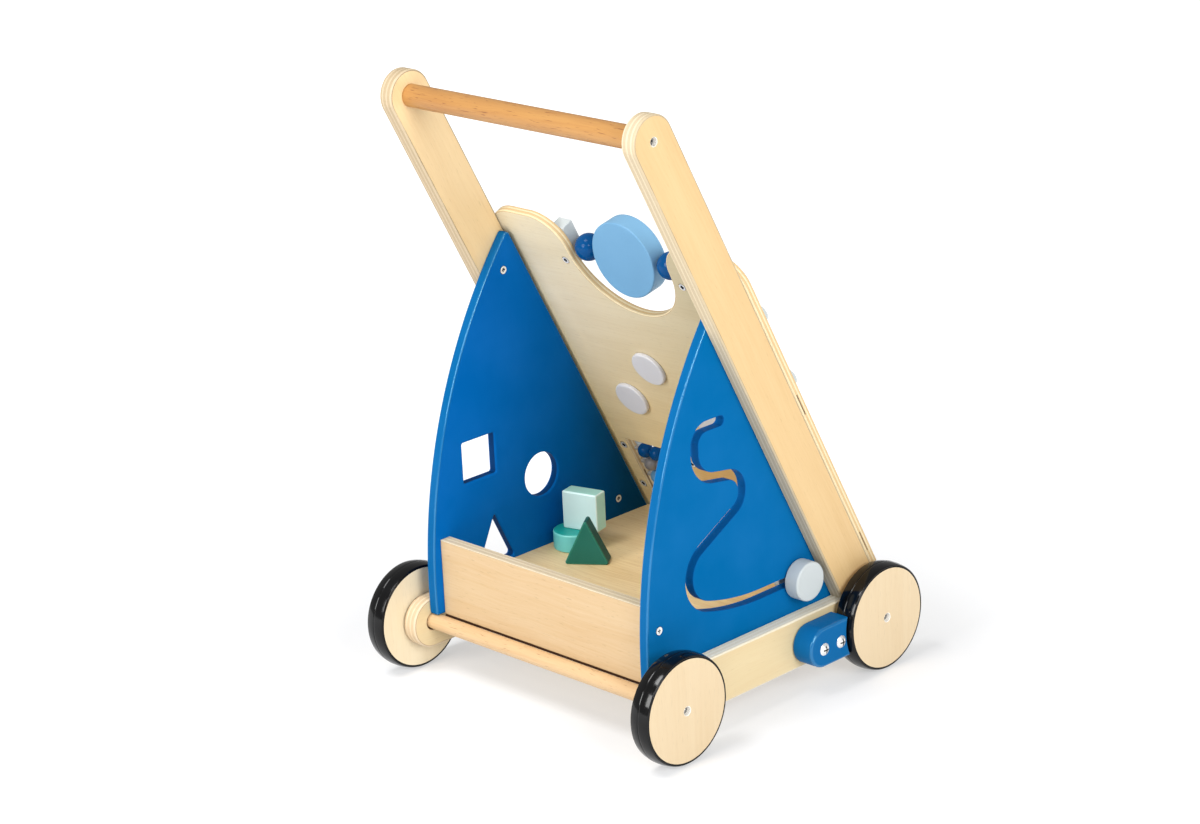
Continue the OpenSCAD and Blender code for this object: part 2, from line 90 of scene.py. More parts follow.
# ------------------------------------------------------------------ outlines

def arc(cx, cy, r, a0, a1, n):
    """Points on a circle from angle a0 to a1, both included."""
    return [(cx + r * math.cos(math.radians(a0 + (a1 - a0) * i / n)),
             cy + r * math.sin(math.radians(a0 + (a1 - a0) * i / n))) for i in range(n + 1)]


def circle(cx, cy, r, n=48):
    return arc(cx, cy, r, 0, 360, n)[:-1]


def fillet(pts, radii, seg=6):
    """The closed outline with each corner rounded by its radius."""
    if not hasattr(radii, "__len__"):
        radii = [radii] * len(pts)
    out = []
    for i, p in enumerate(pts):
        r = radii[i]
        p = Vector(p)
        a, b = Vector(pts[i - 1]) - p, Vector(pts[(i + 1) % len(pts)]) - p
        if r <= 0 or a.length < 1e-6 or b.length < 1e-6:
            out.append((p.x, p.y))
            continue
        a.normalize()
        b.normalize()
        half = math.acos(max(-1, min(1, a.dot(b)))) / 2
        if half > math.radians(88):
            out.append((p.x, p.y))
            continue
        d = r / math.tan(half)
        c = p + (a + b).normalized() * (r / math.sin(half))
        s0, s1 = p + a * d - c, p + b * d - c
        t0, t1 = math.atan2(s0.y, s0.x), math.atan2(s1.y, s1.x)
        dt = (t1 - t0 + math.pi) % (2 * math.pi) - math.pi
        for k in range(seg + 1):
            t = t0 + dt * k / seg
            out.append((c.x + r * math.cos(t), c.y + r * math.sin(t)))
    return out


def tidy(pts, eps=1e-4):
    """The outline without repeated points."""
    out = []
    for p in pts:
        if not out or (Vector(p) - Vector(out[-1])).length > eps:
            out.append(p)
    if (Vector(out[0]) - Vector(out[-1])).length <= eps:
        out.pop()
    return out


def finer(pts, step):
    """The outline with long sides cut into steps."""
    out = []
    for i, p in enumerate(pts):
        q = pts[(i + 1) % len(pts)]
        n = max(1, int(math.hypot(q[0] - p[0], q[1] - p[1]) / step))
        out += [(p[0] + (q[0] - p[0]) * k / n, p[1] + (q[1] - p[1]) * k / n) for k in range(n)]
    return out


def area(pts):
    return sum(pts[i - 1][0] * p[1] - p[0] * pts[i - 1][1] for i, p in enumerate(pts)) / 2


def inset(pts, d):
    """Each point moved d to the left of the way the outline runs, with mitred corners."""
    out = []
    n = len(pts)
    for i, p in enumerate(pts):
        a = Vector(p) - Vector(pts[i - 1])
        b = Vector(pts[(i + 1) % n]) - Vector(p)
        a.normalize()
        b.normalize()
        na, nb = Vector((-a.y, a.x)), Vector((-b.y, b.x))
        m = na + nb
        if m.length < 1e-6:
            m = na.copy()
        m.normalize()
        k = d / max(0.35, m.dot(na))
        out.append((p[0] + m.x * k, p[1] + m.y * k))
    return out


# ------------------------------------------------------------------ meshes

def smooth(me, angle):
    me.polygons.foreach_set("use_smooth", [True] * len(me.polygons))
    me.set_sharp_from_angle(angle=math.radians(angle))
    me.update()


def make(name, verts, faces, mats, body, nodes=(), face_mats=None, angle=38, slot=None):
    """A finished piece: mesh, materials, body, and the CAD nodes it stands for."""
    me = bpy.data.meshes.new(name)
    me.from_pydata([tuple(v) for v in verts], [], faces)
    for m in mats:
        me.materials.append(m)
    if face_mats:
        me.polygons.foreach_set("material_index", face_mats)
    me.validate()
    smooth(me, angle)
    ob = bpy.data.objects.new(name, me)
    bpy.context.scene.collection.objects.link(ob)
    wn = ob.modifiers.new("normals", "WEIGHTED_NORMAL")
    wn.mode = "FACE_AREA"
    wn.weight = 90
    wn.keep_sharp = True
    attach(ob, body)
    if nodes:
        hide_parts(*nodes)
        slot = slot or SLOT[nodes[0]]
    return ob


def plate_data(loops, radii, w0, w1, m, seg=4, cut=None):
    """Flat piece with rounded edges. loops[0] is the outline and the rest are holes; radii gives each loop's edge rounding. Returns vertices, faces and the kind of each face: 0 face, 1 edge, 2 rounding."""
    verts, faces, kinds = [], [], []
    lo_rings, hi_rings = [], []
    for i, lp in enumerate(loops):
        lp = tidy(lp)
        if (area(lp) > 0) != (i == 0):
            lp = lp[::-1]
        r = radii[i]
        steps = []
        for j in range(seg + 1):
            a = math.pi / 2 * j / seg
            steps.append((r * (1 - math.sin(a)), w0 + r * (1 - math.cos(a))))
        if cut:
            n = max(1, int((w1 - w0 - 2 * r) / cut))
            steps += [(0.0, w0 + r + (w1 - w0 - 2 * r) * k / n) for k in range(1, n)]
        for j in range(seg, -1, -1):
            a = math.pi / 2 * j / seg
            steps.append((r * (1 - math.sin(a)), w1 - r * (1 - math.cos(a))))
        rings = []
        for d, w in steps:
            ring = inset(lp, d) if d > 1e-9 else lp
            start = len(verts)
            verts += [m @ Vector((p[0], p[1], w)) for p in ring]
            rings.append((start, ring))
        n = len(lp)
        last = len(rings) - 2
        for k in range(len(rings) - 1):
            a, b = rings[k][0], rings[k + 1][0]
            kind = 1 if seg <= k <= last - seg else 2
            for q in range(n):
                q2 = (q + 1) % n
                faces.append((a + q, a + q2, b + q2, b + q))
                kinds.append(kind)
        lo_rings.append(rings[0])
        hi_rings.append(rings[-1])
    for rings, flip in ((lo_rings, True), (hi_rings, False)):
        index = [st + k for st, ring in rings for k in range(len(ring))]
        tris = tessellate_polygon([[Vector((p[0], p[1], 0)) for p in ring] for _, ring in rings])
        flat = [p for _, ring in rings for p in ring]
        for t in tris:
            a, b, c = t
            turn = (flat[b][0] - flat[a][0]) * (flat[c][1] - flat[a][1]) - (flat[c][0] - flat[a][0]) * (flat[b][1] - flat[a][1])
            if abs(turn) < 1e-9:
                continue
            if (turn > 0) == flip:
                a, b, c = c, b, a
            faces.append((index[a], index[b], index[c]))
            kinds.append(0)
    return verts, faces, kinds


def lathe_data(profile, m, n=96, closed=False):
    """Turned piece about the w axis of m: profile is (radius, height) points in mm."""
    verts, faces, rows = [], [], []
    for r, h in profile:
        if r < 1e-6:
            rows.append([len(verts)])
            verts.append(m @ Vector((0, 0, h)))
        else:
            rows.append(list(range(len(verts), len(verts) + n)))
            verts += [m @ Vector((r * math.cos(2 * math.pi * k / n), r * math.sin(2 * math.pi * k / n), h)) for k in range(n)]
    pairs = list(zip(rows, rows[1:]))
    if closed:
        pairs.append((rows[-1], rows[0]))
    for a, b in pairs:
        for k in range(n):
            k2 = (k + 1) % n
            if len(a) == 1 and len(b) == 1:
                continue
            if len(a) == 1:
                faces.append((a[0], b[k2], b[k]))
            elif len(b) == 1:
                faces.append((a[k], a[k2], b[0]))
            else:
                faces.append((a[k], a[k2], b[k2], b[k]))
    return verts, faces


def outward(verts, faces):
    """The faces turned so that the closed mesh's volume is positive."""
    vol = 0.0
    for f in faces:
        a = verts[f[0]]
        for i in range(1, len(f) - 1):
            vol += a.dot(verts[f[i]].cross(verts[f[i + 1]]))
    return faces if vol > 0 else [tuple(reversed(f)) for f in faces]


def lathe(name, profile, m, mats, body, nodes=(), n=96, closed=False, angle=38, which=None):
    v, f = lathe_data(profile, m, n, closed)
    f = outward(v, f)
    return make(name, v, f, mats, body, nodes, angle=angle)


def several(name, parts, mats, body, nodes=(), angle=38):
    """One piece from a list of (vertices, faces)."""
    verts, faces = [], []
    for v, f in parts:
        f = outward(v, f)
        k = len(verts)
        verts += v
        faces += [tuple(i + k for i in q) for q in f]
    return make(name, verts, faces, mats, body, nodes, angle=angle)


def round_profile(pts, radii, seg=5):
    """An open profile with rounded inner corners."""
    out = [pts[0]]
    for i in range(1, len(pts) - 1):
        c = fillet([pts[i - 1], pts[i], pts[i + 1]], [0, radii[i], 0], seg)
        out += c[1:-1] if radii[i] > 0 else [pts[i]]
    out.append(pts[-1])
    return out


def rounded_box(sx, sy, sz, r, m, seg=3):
    """Closed box with rounded edges, from 0 to its size on each axis."""
    lp = fillet([(0, 0), (sx, 0), (sx, sy), (0, sy)], r, seg + 1)
    v, f, _ = plate_data([lp], [r * 0.98], 0, sz, m, seg)
    return v, f


# ------------------------------------------------------------------ materials

class Mat:
    """Small helper round a node tree."""

    def __init__(self, name):
        self.mat = bpy.data.materials.new(name)
        self.mat.use_nodes = True
        self.nt = self.mat.node_tree
        self.nt.nodes.clear()
        self.out = self.add("ShaderNodeOutputMaterial")
        self.b = self.add("ShaderNodeBsdfPrincipled")
        self.nt.links.new(self.b.outputs[0], self.out.inputs[0])
        self._p = None

    def add(self, kind, **props):
        n = self.nt.nodes.new(kind)
        for k, v in props.items():
            setattr(n, k, v)
        return n

    def put(self, socket, value):
        if hasattr(value, "links") or isinstance(value, bpy.types.NodeSocket):
            self.nt.links.new(value, socket)
        else:
            socket.default_value = value

    @property
    def p(self):
        if self._p is None:
            self._p = self.add("ShaderNodeTexCoord").outputs["Object"]
        return self._p

    def math(self, op, a, b=0.0, c=None, clamp=False):
        n = self.add("ShaderNodeMath", operation=op, use_clamp=clamp)
        self.put(n.inputs[0], a)
        self.put(n.inputs[1], b)
        if c is not None:
            self.put(n.inputs[2], c)
        return n.outputs[0]

    def dot(self, v):
        n = self.add("ShaderNodeVectorMath", operation="DOT_PRODUCT")
        self.put(n.inputs[0], self.p)
        n.inputs[1].default_value = tuple(v)
        return n.outputs["Value"]

    def vec(self, x, y, z):
        n = self.add("ShaderNodeCombineXYZ")
        for i, v in enumerate((x, y, z)):
            self.put(n.inputs[i], v)
        return n.outputs[0]

    def noise(self, v, scale=1.0, detail=2.0, rough=0.5, distort=0.0):
        n = self.add("ShaderNodeTexNoise")
        self.put(n.inputs["Vector"], v)
        n.inputs["Scale"].default_value = scale
        n.inputs["Detail"].default_value = detail
        n.inputs["Roughness"].default_value = rough
        n.inputs["Distortion"].default_value = distort
        return n.outputs["Fac"]

    def span(self, v, a, b, lo=0.0, hi=1.0):
        n = self.add("ShaderNodeMapRange", clamp=True)
        self.put(n.inputs["Value"], v)
        for k, x in zip(("From Min", "From Max", "To Min", "To Max"), (a, b, lo, hi)):
            n.inputs[k].default_value = x
        return n.outputs["Result"]

    def mix(self, f, a, b, blend="MIX"):
        n = self.add("ShaderNodeMix", data_type="RGBA", blend_type=blend)
        self.put(n.inputs[0], f)
        for k, v in ((6, a), (7, b)):
            if isinstance(v, bpy.types.NodeSocket):
                self.put(n.inputs[k], v)
            else:
                n.inputs[k].default_value = (v[0], v[1], v[2], 1.0)
        return n.outputs[2]

    def ramp(self, v, stops):
        n = self.add("ShaderNodeValToRGB")
        self.put(n.inputs[0], v)
        e = n.color_ramp.elements
        while len(e) > 1:
            e.remove(e[-1])
        for i, (p, c) in enumerate(stops):
            q = e[0] if i == 0 else e.new(p)
            q.position = p
            q.color = (c[0], c[1], c[2], 1.0)
        return n.outputs[0]

    def bump(self, h, strength, distance):
        n = self.add("ShaderNodeBump")
        n.inputs["Strength"].default_value = strength
        n.inputs["Distance"].default_value = distance
        self.put(n.inputs["Height"], h)
        self.nt.links.new(n.outputs[0], self.b.inputs["Normal"])

    def shade_tinted(self, col, light_shade_tints):
        """Multiply the colour by a tint of painted light and shade that comes in between two planes along each axis."""
        for part in light_shade_tints or ():
            f = None
            for axis, a0, a1 in part[1:]:
                k = self.span(self.dot(axis), a0 * MM, a1 * MM)
                f = k if f is None else self.math("MULTIPLY", f, k)
            col = self.mix(f, col, self.mix(1.0, col, part[0], "MULTIPLY"))
        return col

    def set(self, **k):
        for name, v in k.items():
            self.put(self.b.inputs[name.replace("_", " ")], v)


def lin(r, g, b):
    """sRGB 0 to 255 to linear."""
    def f(c):
        c /= 255.0
        return c / 12.92 if c <= 0.04045 else ((c + 0.055) / 1.055) ** 2.4
    return (f(r), f(g), f(b))


def wood(name, light, dark, along, across, thick, streak=1.0, fleck=1.0, rough=0.5, coat=0.0, seed=0.0, fleck_color=None, wide=1.0, light_shade_tints=None):
    """Lacquered wood: wandering streaks, broad soft patches and short dark flecks along the grain."""
    m = Mat(name)
    a, b, c = m.dot(along), m.dot(across), m.dot(thick)
    wander = m.noise(m.vec(m.math("MULTIPLY", a, 9.0), m.math("MULTIPLY", b, 14.0), m.math("MULTIPLY_ADD", c, 9.0, seed)), 1.0, 2.0)
    b2 = m.math("MULTIPLY_ADD", m.math("SUBTRACT", wander, 0.5), 0.012, b)
    broad = m.noise(m.vec(m.math("MULTIPLY", a, 5.0 * wide), m.math("MULTIPLY", b2, 55.0 * wide), m.math("MULTIPLY_ADD", c, 30.0, seed + 3.1)), 1.0, 3.0, 0.55)
    fine = m.noise(m.vec(m.math("MULTIPLY", a, 22.0), m.math("MULTIPLY", b2, 620.0), m.math("MULTIPLY_ADD", c, 300.0, seed + 7.7)), 1.0, 4.0, 0.6)
    tick = m.noise(m.vec(m.math("MULTIPLY", a, 120.0), m.math("MULTIPLY", b2, 1500.0), m.math("MULTIPLY_ADD", c, 800.0, seed + 1.3)), 1.0, 1.0)
    patch = m.noise(m.vec(m.math("MULTIPLY", a, 10.0), m.math("MULTIPLY", b, 16.0), m.math("MULTIPLY_ADD", c, 10.0, seed + 5.0)), 1.0, 2.0)
    f1 = m.span(broad, 0.32, 0.72, 0.0, 0.55 * streak)
    f2 = m.span(fine, 0.38, 0.72, 0.0, 0.42 * streak)
    f = m.math("ADD", f1, f2, clamp=True)
    f = m.math("MULTIPLY", f, m.span(patch, 0.3, 0.7, 0.55, 1.0))
    col = m.mix(f, light, dark)
    t = m.span(tick, 0.66, 0.76, 0.0, 0.55 * fleck)
    col = m.mix(t, col, fleck_color or tuple(x * 0.55 for x in dark))
    # the tints given for light and shade are painted onto the colour here
    col = m.shade_tinted(col, light_shade_tints)
    m.set(Base_Color=col, Roughness=m.span(fine, 0.3, 0.7, rough - 0.06, rough + 0.08), Coat_Weight=coat, Coat_Roughness=0.25, Specular_IOR_Level=0.4)
    h = m.math("MULTIPLY_ADD", fine, 0.7, m.math("MULTIPLY", t, -0.8))
    m.bump(h, 0.25, 0.00018)
    return m.mat


def ply(name, axis, start, ply_mm, light, dark, glue, along, seed=0.0, rough=0.55, voids=()):
    """Sawn plywood edge: plies that run along and across it in turn, with thin glue lines."""
    m = Mat(name)
    t = m.math("MULTIPLY", m.math("SUBTRACT", m.dot(axis), start * MM), 1000.0 / (2 * ply_mm))
    warp = m.noise(m.vec(m.math("MULTIPLY", m.dot(along), 30.0), seed, 0.0), 1.0, 2.0)
    t = m.math("ADD", t, m.math("MULTIPLY", m.math("SUBTRACT", warp, 0.5), 0.10))
    fr = m.math("FRACT", t)
    band = m.ramp(fr, [(0.0, glue), (0.03, light), (0.46, light), (0.485, glue), (0.51, dark), (0.97, dark), (1.0, glue)])
    speck = m.noise(m.vec(m.math("MULTIPLY", m.dot(along), 420.0), m.math("MULTIPLY", t, 6.0), seed), 1.0, 3.0, 0.6)
    run = m.noise(m.vec(m.math("MULTIPLY", m.dot(along), 25.0), m.math("MULTIPLY", t, 9.0), seed + 2.0), 1.0, 3.0)
    col = m.mix(m.span(speck, 0.45, 0.75, 0.0, 0.35), band, tuple(x * 0.72 for x in dark))
    col = m.mix(m.span(run, 0.5, 0.75, 0.0, 0.35), col, light)
    for a, b, ha, hb in voids:
        f = m.math("MULTIPLY", m.math("COMPARE", m.dot(along), a * MM, ha * MM), m.math("COMPARE", m.dot(axis), b * MM, hb * MM))
        col = m.mix(m.math("MULTIPLY", f, m.span(run, 0.4, 0.55, 0.35, 1.0)), col, (0.06, 0.028, 0.012))
    m.set(Base_Color=col, Roughness=m.span(speck, 0.3, 0.7, rough - 0.05, rough + 0.1), Specular_IOR_Level=0.4)
    m.bump(m.math("MULTIPLY_ADD", speck, 0.5, m.math("MULTIPLY", fr, 0.3)), 0.2, 0.00015)
    return m.mat


def paint(name, color, rough=0.35, coat=0.25, vary=0.08, grain=None, spec=0.5, peel=0.12, light_shade_tints=None):
    """Sprayed lacquer over wood: slight cloudiness, orange peel, and a trace of the grain beneath."""
    m = Mat(name)
    cloud = m.noise(m.p, 22.0, 3.0)
    fine = m.noise(m.p, 420.0, 2.0)
    lo = tuple(x * (1 - vary) for x in color)
    hi = tuple(min(1.0, x * (1 + vary) + 0.004) for x in color)
    col = m.mix(m.span(cloud, 0.3, 0.7), lo, hi)
    speck = m.noise(m.p, 1400.0, 1.0)
    col = m.mix(m.span(speck, 0.70, 0.80, 0.0, 0.10), col, tuple(min(1.0, x * 1.6 + 0.03) for x in color))
    h = m.math("MULTIPLY", fine, 0.6)
    if grain is not None:
        g = m.noise(m.vec(m.math("MULTIPLY", m.dot(grain[0]), 18.0), m.math("MULTIPLY", m.dot(grain[1]), 520.0), m.math("MULTIPLY", m.dot(grain[2]), 240.0)), 1.0, 3.0)
        h = m.math("ADD", h, m.math("MULTIPLY", g, 0.7))
        col = m.mix(m.span(g, 0.55, 0.8, 0.0, 0.10), col, tuple(x * 0.75 for x in color))
    # the tints given for light and shade are painted onto the colour here
    col = m.shade_tinted(col, light_shade_tints)
    m.set(Base_Color=col, Roughness=m.span(fine, 0.3, 0.7, rough - 0.04, rough + 0.06), Coat_Weight=coat, Coat_Roughness=0.12, Specular_IOR_Level=spec)
    m.bump(h, peel, 0.0002)
    return m.mat


def steel(name, color, rough=0.3, heads=None, metal=0.55):
    """Zinc plated steel. heads is (u axis, v axis, centres in mm, half width, half length) of the dark cross painted in
    each screw's head as the shade of its recess.
    """
    m = Mat(name)
    brush = m.noise(m.p, 900.0, 3.0, 0.65)
    stain = m.noise(m.p, 160.0, 2.0)
    col = m.mix(m.span(stain, 0.35, 0.7), color, tuple(x * 0.8 for x in color))
    if heads:
        u, v, centres, hw, hl = heads
        u, v = m.dot(u), m.dot(v)
        f = None
        for cu, cv in centres:
            a = m.math("MULTIPLY", m.math("COMPARE", u, cu * MM, hw * MM), m.math("COMPARE", v, cv * MM, hl * MM))
            b = m.math("MULTIPLY", m.math("COMPARE", u, cu * MM, hl * MM), m.math("COMPARE", v, cv * MM, hw * MM))
            k = m.math("MAXIMUM", a, b)
            f = k if f is None else m.math("MAXIMUM", f, k)
        # painted shade of the cross recess
        col = m.mix(f, col, (0.03, 0.03, 0.03))
        metal = m.math("MULTIPLY_ADD", f, -metal, metal)
    m.set(Base_Color=col, Metallic=metal, Roughness=m.span(brush, 0.3, 0.7, rough - 0.08, rough + 0.12))
    m.bump(brush, 0.12, 0.0001)
    return m.mat


def rubber(name, axis_y):
    """Black tyre rubber: fine mould lines round the tread, a trace of dust, a wet sheen."""
    m = Mat(name)
    n = m.noise(m.p, 300.0, 3.0, 0.6)
    x = m.math("MULTIPLY", m.dot(XV), 1000.0)
    lines = m.noise(m.vec(m.math("MULTIPLY", x, 2.2), 0.0, 0.0), 1.0, 2.0)
    dust = m.noise(m.p, 70.0, 4.0, 0.65)
    col = m.mix(m.span(dust, 0.5, 0.8, 0.0, 0.5), (0.002, 0.002, 0.0022), (0.007, 0.007, 0.0075))
    m.set(Base_Color=col, Roughness=m.span(n, 0.3, 0.7, 0.09, 0.16), Specular_IOR_Level=0.3)
    m.bump(m.math("MULTIPLY_ADD", lines, 0.6, m.math("MULTIPLY", n, 0.5)), 0.12, 0.0002)
    return m.mat


NOFF = Vector((0.0, HY, HZ)).dot(NV)
D0 = Vector((0.0, HY, HZ)).dot(DV)
BIRCH_L, BIRCH_D = lin(217, 186, 135), lin(198, 158, 104)
EDGE_L, EDGE_D, EDGE_G = lin(210, 195, 166), lin(192, 174, 143), lin(150, 127, 97)
# The rails' ply edges are paler than the arms', with faint glue lines: partly their own look, partly painted light over
# the shade the lamps leave on their tops.
RAIL_L, RAIL_D, RAIL_G = lin(244, 237, 216), lin(234, 223, 198), lin(214, 199, 170)
M = {}
M["arm"] = wood("birch_arm", BIRCH_L, BIRCH_D, DV, NV, XV, 0.6, 0.4, 0.46, 0.05, 1.0)
# Painted light: the far arm is a lighter copy of the near arm's birch.
M["arm_far"] = wood("birch_arm_far_painted_light", lin(238, 209, 160), lin(220, 182, 128), DV, NV, XV, 0.6, 0.4, 0.46, 0.05, 2.0)
M["rail"] = wood("birch_rail", lin(220, 201, 159), lin(208, 178, 128), YV, ZV, XV, 0.7, 0.4, 0.46, 0.05, 4.0)
# Painted light and shade on the board's back face (BACK): warmer and darker low down, darker and more orange low down
# right of the window, darker towards the +x side and slightly at the top, lighter near the left edge below the top.
BACK = (NV, NOFF + 22.5, NOFF + 20.5)
M["board"] = wood("birch_board", lin(233, 219, 188), lin(214, 194, 156), XV, DV, NV, 0.7, 0.6, 0.5, 0.03, 9.0,
                  light_shade_tints=[((1.06, 0.97, 0.76), (DV, D0 + 200, D0 + 340), BACK), ((0.90, 0.76, 0.60), (DV, D0 + 318, D0 + 352), (XV, -36, -20), BACK),
                        ((0.75, 0.73, 0.65), (XV, -90, 60), BACK), ((0.90, 0.92, 0.94), (DV, D0 + 190, D0 + 150), BACK),
                        ((1.16, 1.17, 1.16), (XV, -78, -104), (DV, D0 + 165, D0 + 200), BACK)])
# Painted shadow: the lowest strip of the lip's face is tinted near black, and its bottom edge takes a near black wood,
# for the shaded gap above the rear dowel.
M["lip"] = wood("birch_lip", lin(201, 175, 137), lin(188, 152, 106), XV, ZV, YV, 1.0, 0.8, 0.46, 0.05, 14.0,
                light_shade_tints=[((0.05, 0.02, 0.01), (ZV, 46.95, 46.75))])
M["lip_dark"] = wood("lip_painted_gap_shadow", lin(52, 26, 14), lin(34, 16, 8), XV, ZV, YV, 0.8, 0.6, 0.7, 0.0, 15.0)
# Painted shade: the tray floor grows darker and browner towards the right-hand panel, from x 66 to 94 mm.
M["floor"] = wood("birch_floor", lin(248, 224, 176), lin(218, 184, 128), XV, YV, ZV, 1.3, 0.9, 0.5, 0.03, 21.0, wide=0.8,
                  light_shade_tints=[((0.74, 0.60, 0.42), (XV, 66, 94))])
M["wheel"] = wood("wheel_wood", lin(218, 197, 162), lin(207, 179, 137), ZV, YV, XV, 0.6, 0.4, 0.46, 0.05, 27.0)
# Painted light: the far wheels are a lighter, paler copy of the near wheels' wood.
M["wheel_far"] = wood("wheel_wood_far", lin(228, 214, 184), lin(217, 195, 156), ZV, YV, XV, 0.6, 0.4, 0.46, 0.05, 29.0)
# Painted highlight: near white walls for the screw holes in the arms and the wheel centres.
M["wheel_hole"] = wood("screw_hole_painted_highlight", lin(247, 243, 236), lin(242, 237, 226), ZV, YV, XV, 0.4, 0.3, 0.5, 0.0, 30.0)
M["beech"] = wood("beech_bar", lin(182, 135, 76), lin(155, 102, 50), XV, ZV, YV, 1.0, 1.5, 0.42, 0.05, 33.0, lin(112, 62, 32))
M["dowel"] = wood("beech_dowel", lin(209, 178, 136), lin(192, 152, 106), XV, ZV, YV, 0.9, 1.1, 0.44, 0.05, 39.0, lin(136, 86, 50))
M["rod"] = wood("beech_rod", lin(225, 180, 125), lin(195, 140, 90), XV, ZV, YV, 1.0, 1.0, 0.45, 0.0, 44.0)
M["arm_edge"] = ply("ply_edge_x", XV, ARM_IN, 2.0, EDGE_L, EDGE_D, EDGE_G, DV, 1.0)
# Painted shade: the far side's arm and rail ply edges are darker, greyer copies of the near side's.
M["arm_edge_left"] = ply("ply_edge_x_left_painted_shade", -XV, ARM_IN, 2.0, lin(197, 178, 147), lin(180, 159, 126), lin(140, 115, 85), DV, 2.0)
M["rail_edge"] = ply("ply_edge_rail", XV, ARM_IN, 2.0, RAIL_L, RAIL_D, RAIL_G, YV, 3.0)
M["rail_edge_left"] = ply("ply_edge_rail_left_painted_shade", -XV, ARM_IN, 2.0, lin(214, 194, 164), lin(202, 178, 144), lin(166, 138, 108), YV, 4.0)
M["board_edge"] = ply("ply_edge_board", NV, NOFF + BN, 1.6, lin(232, 214, 174), lin(212, 180, 130), lin(158, 118, 74), DV, 5.0,
                      voids=[(D0 + 256.5, NOFF + 20.6, 9.5, 0.55), (D0 + 394.2, NOFF + 20.9, 9.5, 0.55)])
M["lip_edge"] = ply("ply_edge_lip", -YV, 91.5, 2.0, lin(217, 203, 175), lin(198, 180, 150), lin(155, 132, 102), XV, 6.0)
M["blue"] = paint("blue_paint", lin(0, 98, 158), 0.6, 0.0, 0.04, (ZV, YV, XV), spec=0.015)
# The far panel's blue is a brighter copy of the near panel's, as painted light, and on its inner face it darkens
# towards the board (y 34 to 92 mm) as painted shade.
M["blue_far"] = paint("blue_far_painted_light_and_shade", lin(0, 98, 176), 0.6, 0.0, 0.05, (ZV, YV, XV), spec=0.015,
                      light_shade_tints=[((1.0, 0.5, 0.38), (YV, 34, 92), (XV, -108, -106))])
M["blue_edge"] = paint("blue_paint_edge", lin(0, 90, 146), 0.42, 0.0, 0.05, (ZV, YV, XV), spec=0.04)
M["blue_round"] = paint("blue_paint_rounding", lin(0, 94, 152), 0.13, 0.0, 0.04, spec=1.0)
M["blue_round"].node_tree.nodes["Principled BSDF"].inputs["Specular Tint"].default_value = (0.45, 0.9, 1.0, 1.0)
M["blue_slot"] = paint("blue_paint_slot", lin(0, 90, 156), 0.5, 0.0, 0.06, spec=0.03)
M["blue_hole"] = paint("blue_paint_hole", lin(0, 60, 116), 0.5, 0.0, 0.06, spec=0.03)
M["blue_brake"] = paint("blue_paint_brake", lin(0, 94, 152), 0.4, 0.0, 0.04, spec=0.04)
M["blue_gear"] = paint("blue_gear_paint", lin(0, 98, 168), 0.34, 0.06, 0.06, spec=0.2)
M["navy"] = paint("navy_paint", lin(0, 70, 126), 0.12, 0.05, 0.05, spec=0.08)
M["sky"] = paint("sky_paint", lin(104, 153, 189), 0.45, 0.03, 0.03, spec=0.25)
# Painted light: the spinner disc's rim is a lighter copy of its blue.
M["sky_rim"] = paint("sky_rim_painted_light", lin(116, 163, 197), 0.45, 0.03, 0.03, spec=0.25)
M["grey"] = paint("grey_paint", lin(189, 196, 197), 0.42, 0.05, 0.03, spec=0.3)
M["disc_grey"] = paint("back_disc_paint", lin(211, 210, 212), 0.42, 0.05, 0.03, spec=0.3)
M["mint"] = paint("mint_paint", lin(203, 232, 229), 0.36, 0.1, 0.05, (ZV, XV, YV), spec=0.3)
# Painted light and shade on the square block: lighter roundings as a painted highlight, lighter narrow sides as painted
# light, a darker top as painted shade.
M["mint_edge"] = paint("mint_edge_painted_highlight", lin(222, 249, 244), 0.3, 0.2, 0.04)
M["mint_side"] = paint("mint_side_painted_light", (0.5, 0.93, 0.92), 0.36, 0.1, 0.05, (ZV, YV, XV), spec=0.3)
M["mint_top"] = paint("mint_top_painted_shade", lin(172, 222, 208), 0.36, 0.1, 0.06, (XV, YV, ZV), spec=0.3)
# Painted light and shade on the round block: lighter roundings as a painted highlight and darker flat ends as painted
# shade.
M["teal"] = paint("teal_paint", lin(108, 202, 200), 0.34, 0.15, 0.10, (ZV, XV, YV), spec=0.4)
M["teal_edge"] = paint("teal_edge_painted_highlight", lin(120, 212, 204), 0.3, 0.2, 0.08)
M["teal_top"] = paint("teal_top_painted_shade", lin(30, 164, 154), 0.34, 0.08, 0.10, (XV, YV, ZV), spec=0.2)
# Painted light and shade on the triangle block: darker side walls as painted shade and lighter roundings as a painted
# highlight.
M["green"] = paint("green_paint", lin(36, 108, 94), 0.42, 0.03, 0.06, (ZV, XV, YV), spec=0.15)
M["green_wall"] = paint("green_wall_painted_shade", lin(16, 84, 80), 0.42, 0.03, 0.06, spec=0.1)
M["green_edge"] = paint("green_edge_painted_highlight", lin(44, 124, 104), 0.3, 0.1, 0.06, spec=0.3)
ZINC = (0.9, 0.9, 0.89)
X_HEADS = [sl(160, -3), sl(395, -5), (-72, 36), (-20, 36), (22, 36), (78, 36), (-96.5, 56), (-96.5, 88), (HY, HZ), (-106, 40.5), (106, 40.5)]
M["steel"] = steel("screw_steel", ZINC, 0.3, (YV, ZV, X_HEADS, 0.5, 1.6), 0.3)
M["brake_steel"] = steel("brake_screw_steel", ZINC, 0.26, (YV, ZV, [(39.9, 36.7), (58, 36.7)], 0.55, 2.7))
M["back_steel"] = steel("board_screw_steel", ZINC, 0.3, (XV, DV, [(x, D0 + s) for x, s in [(-58, 158.8), (58, 158.8)] + [(x, s) for x in (-99.8, -27.8) for s in (357.6, 399.4)]], 0.8, 1.7), 0.25)
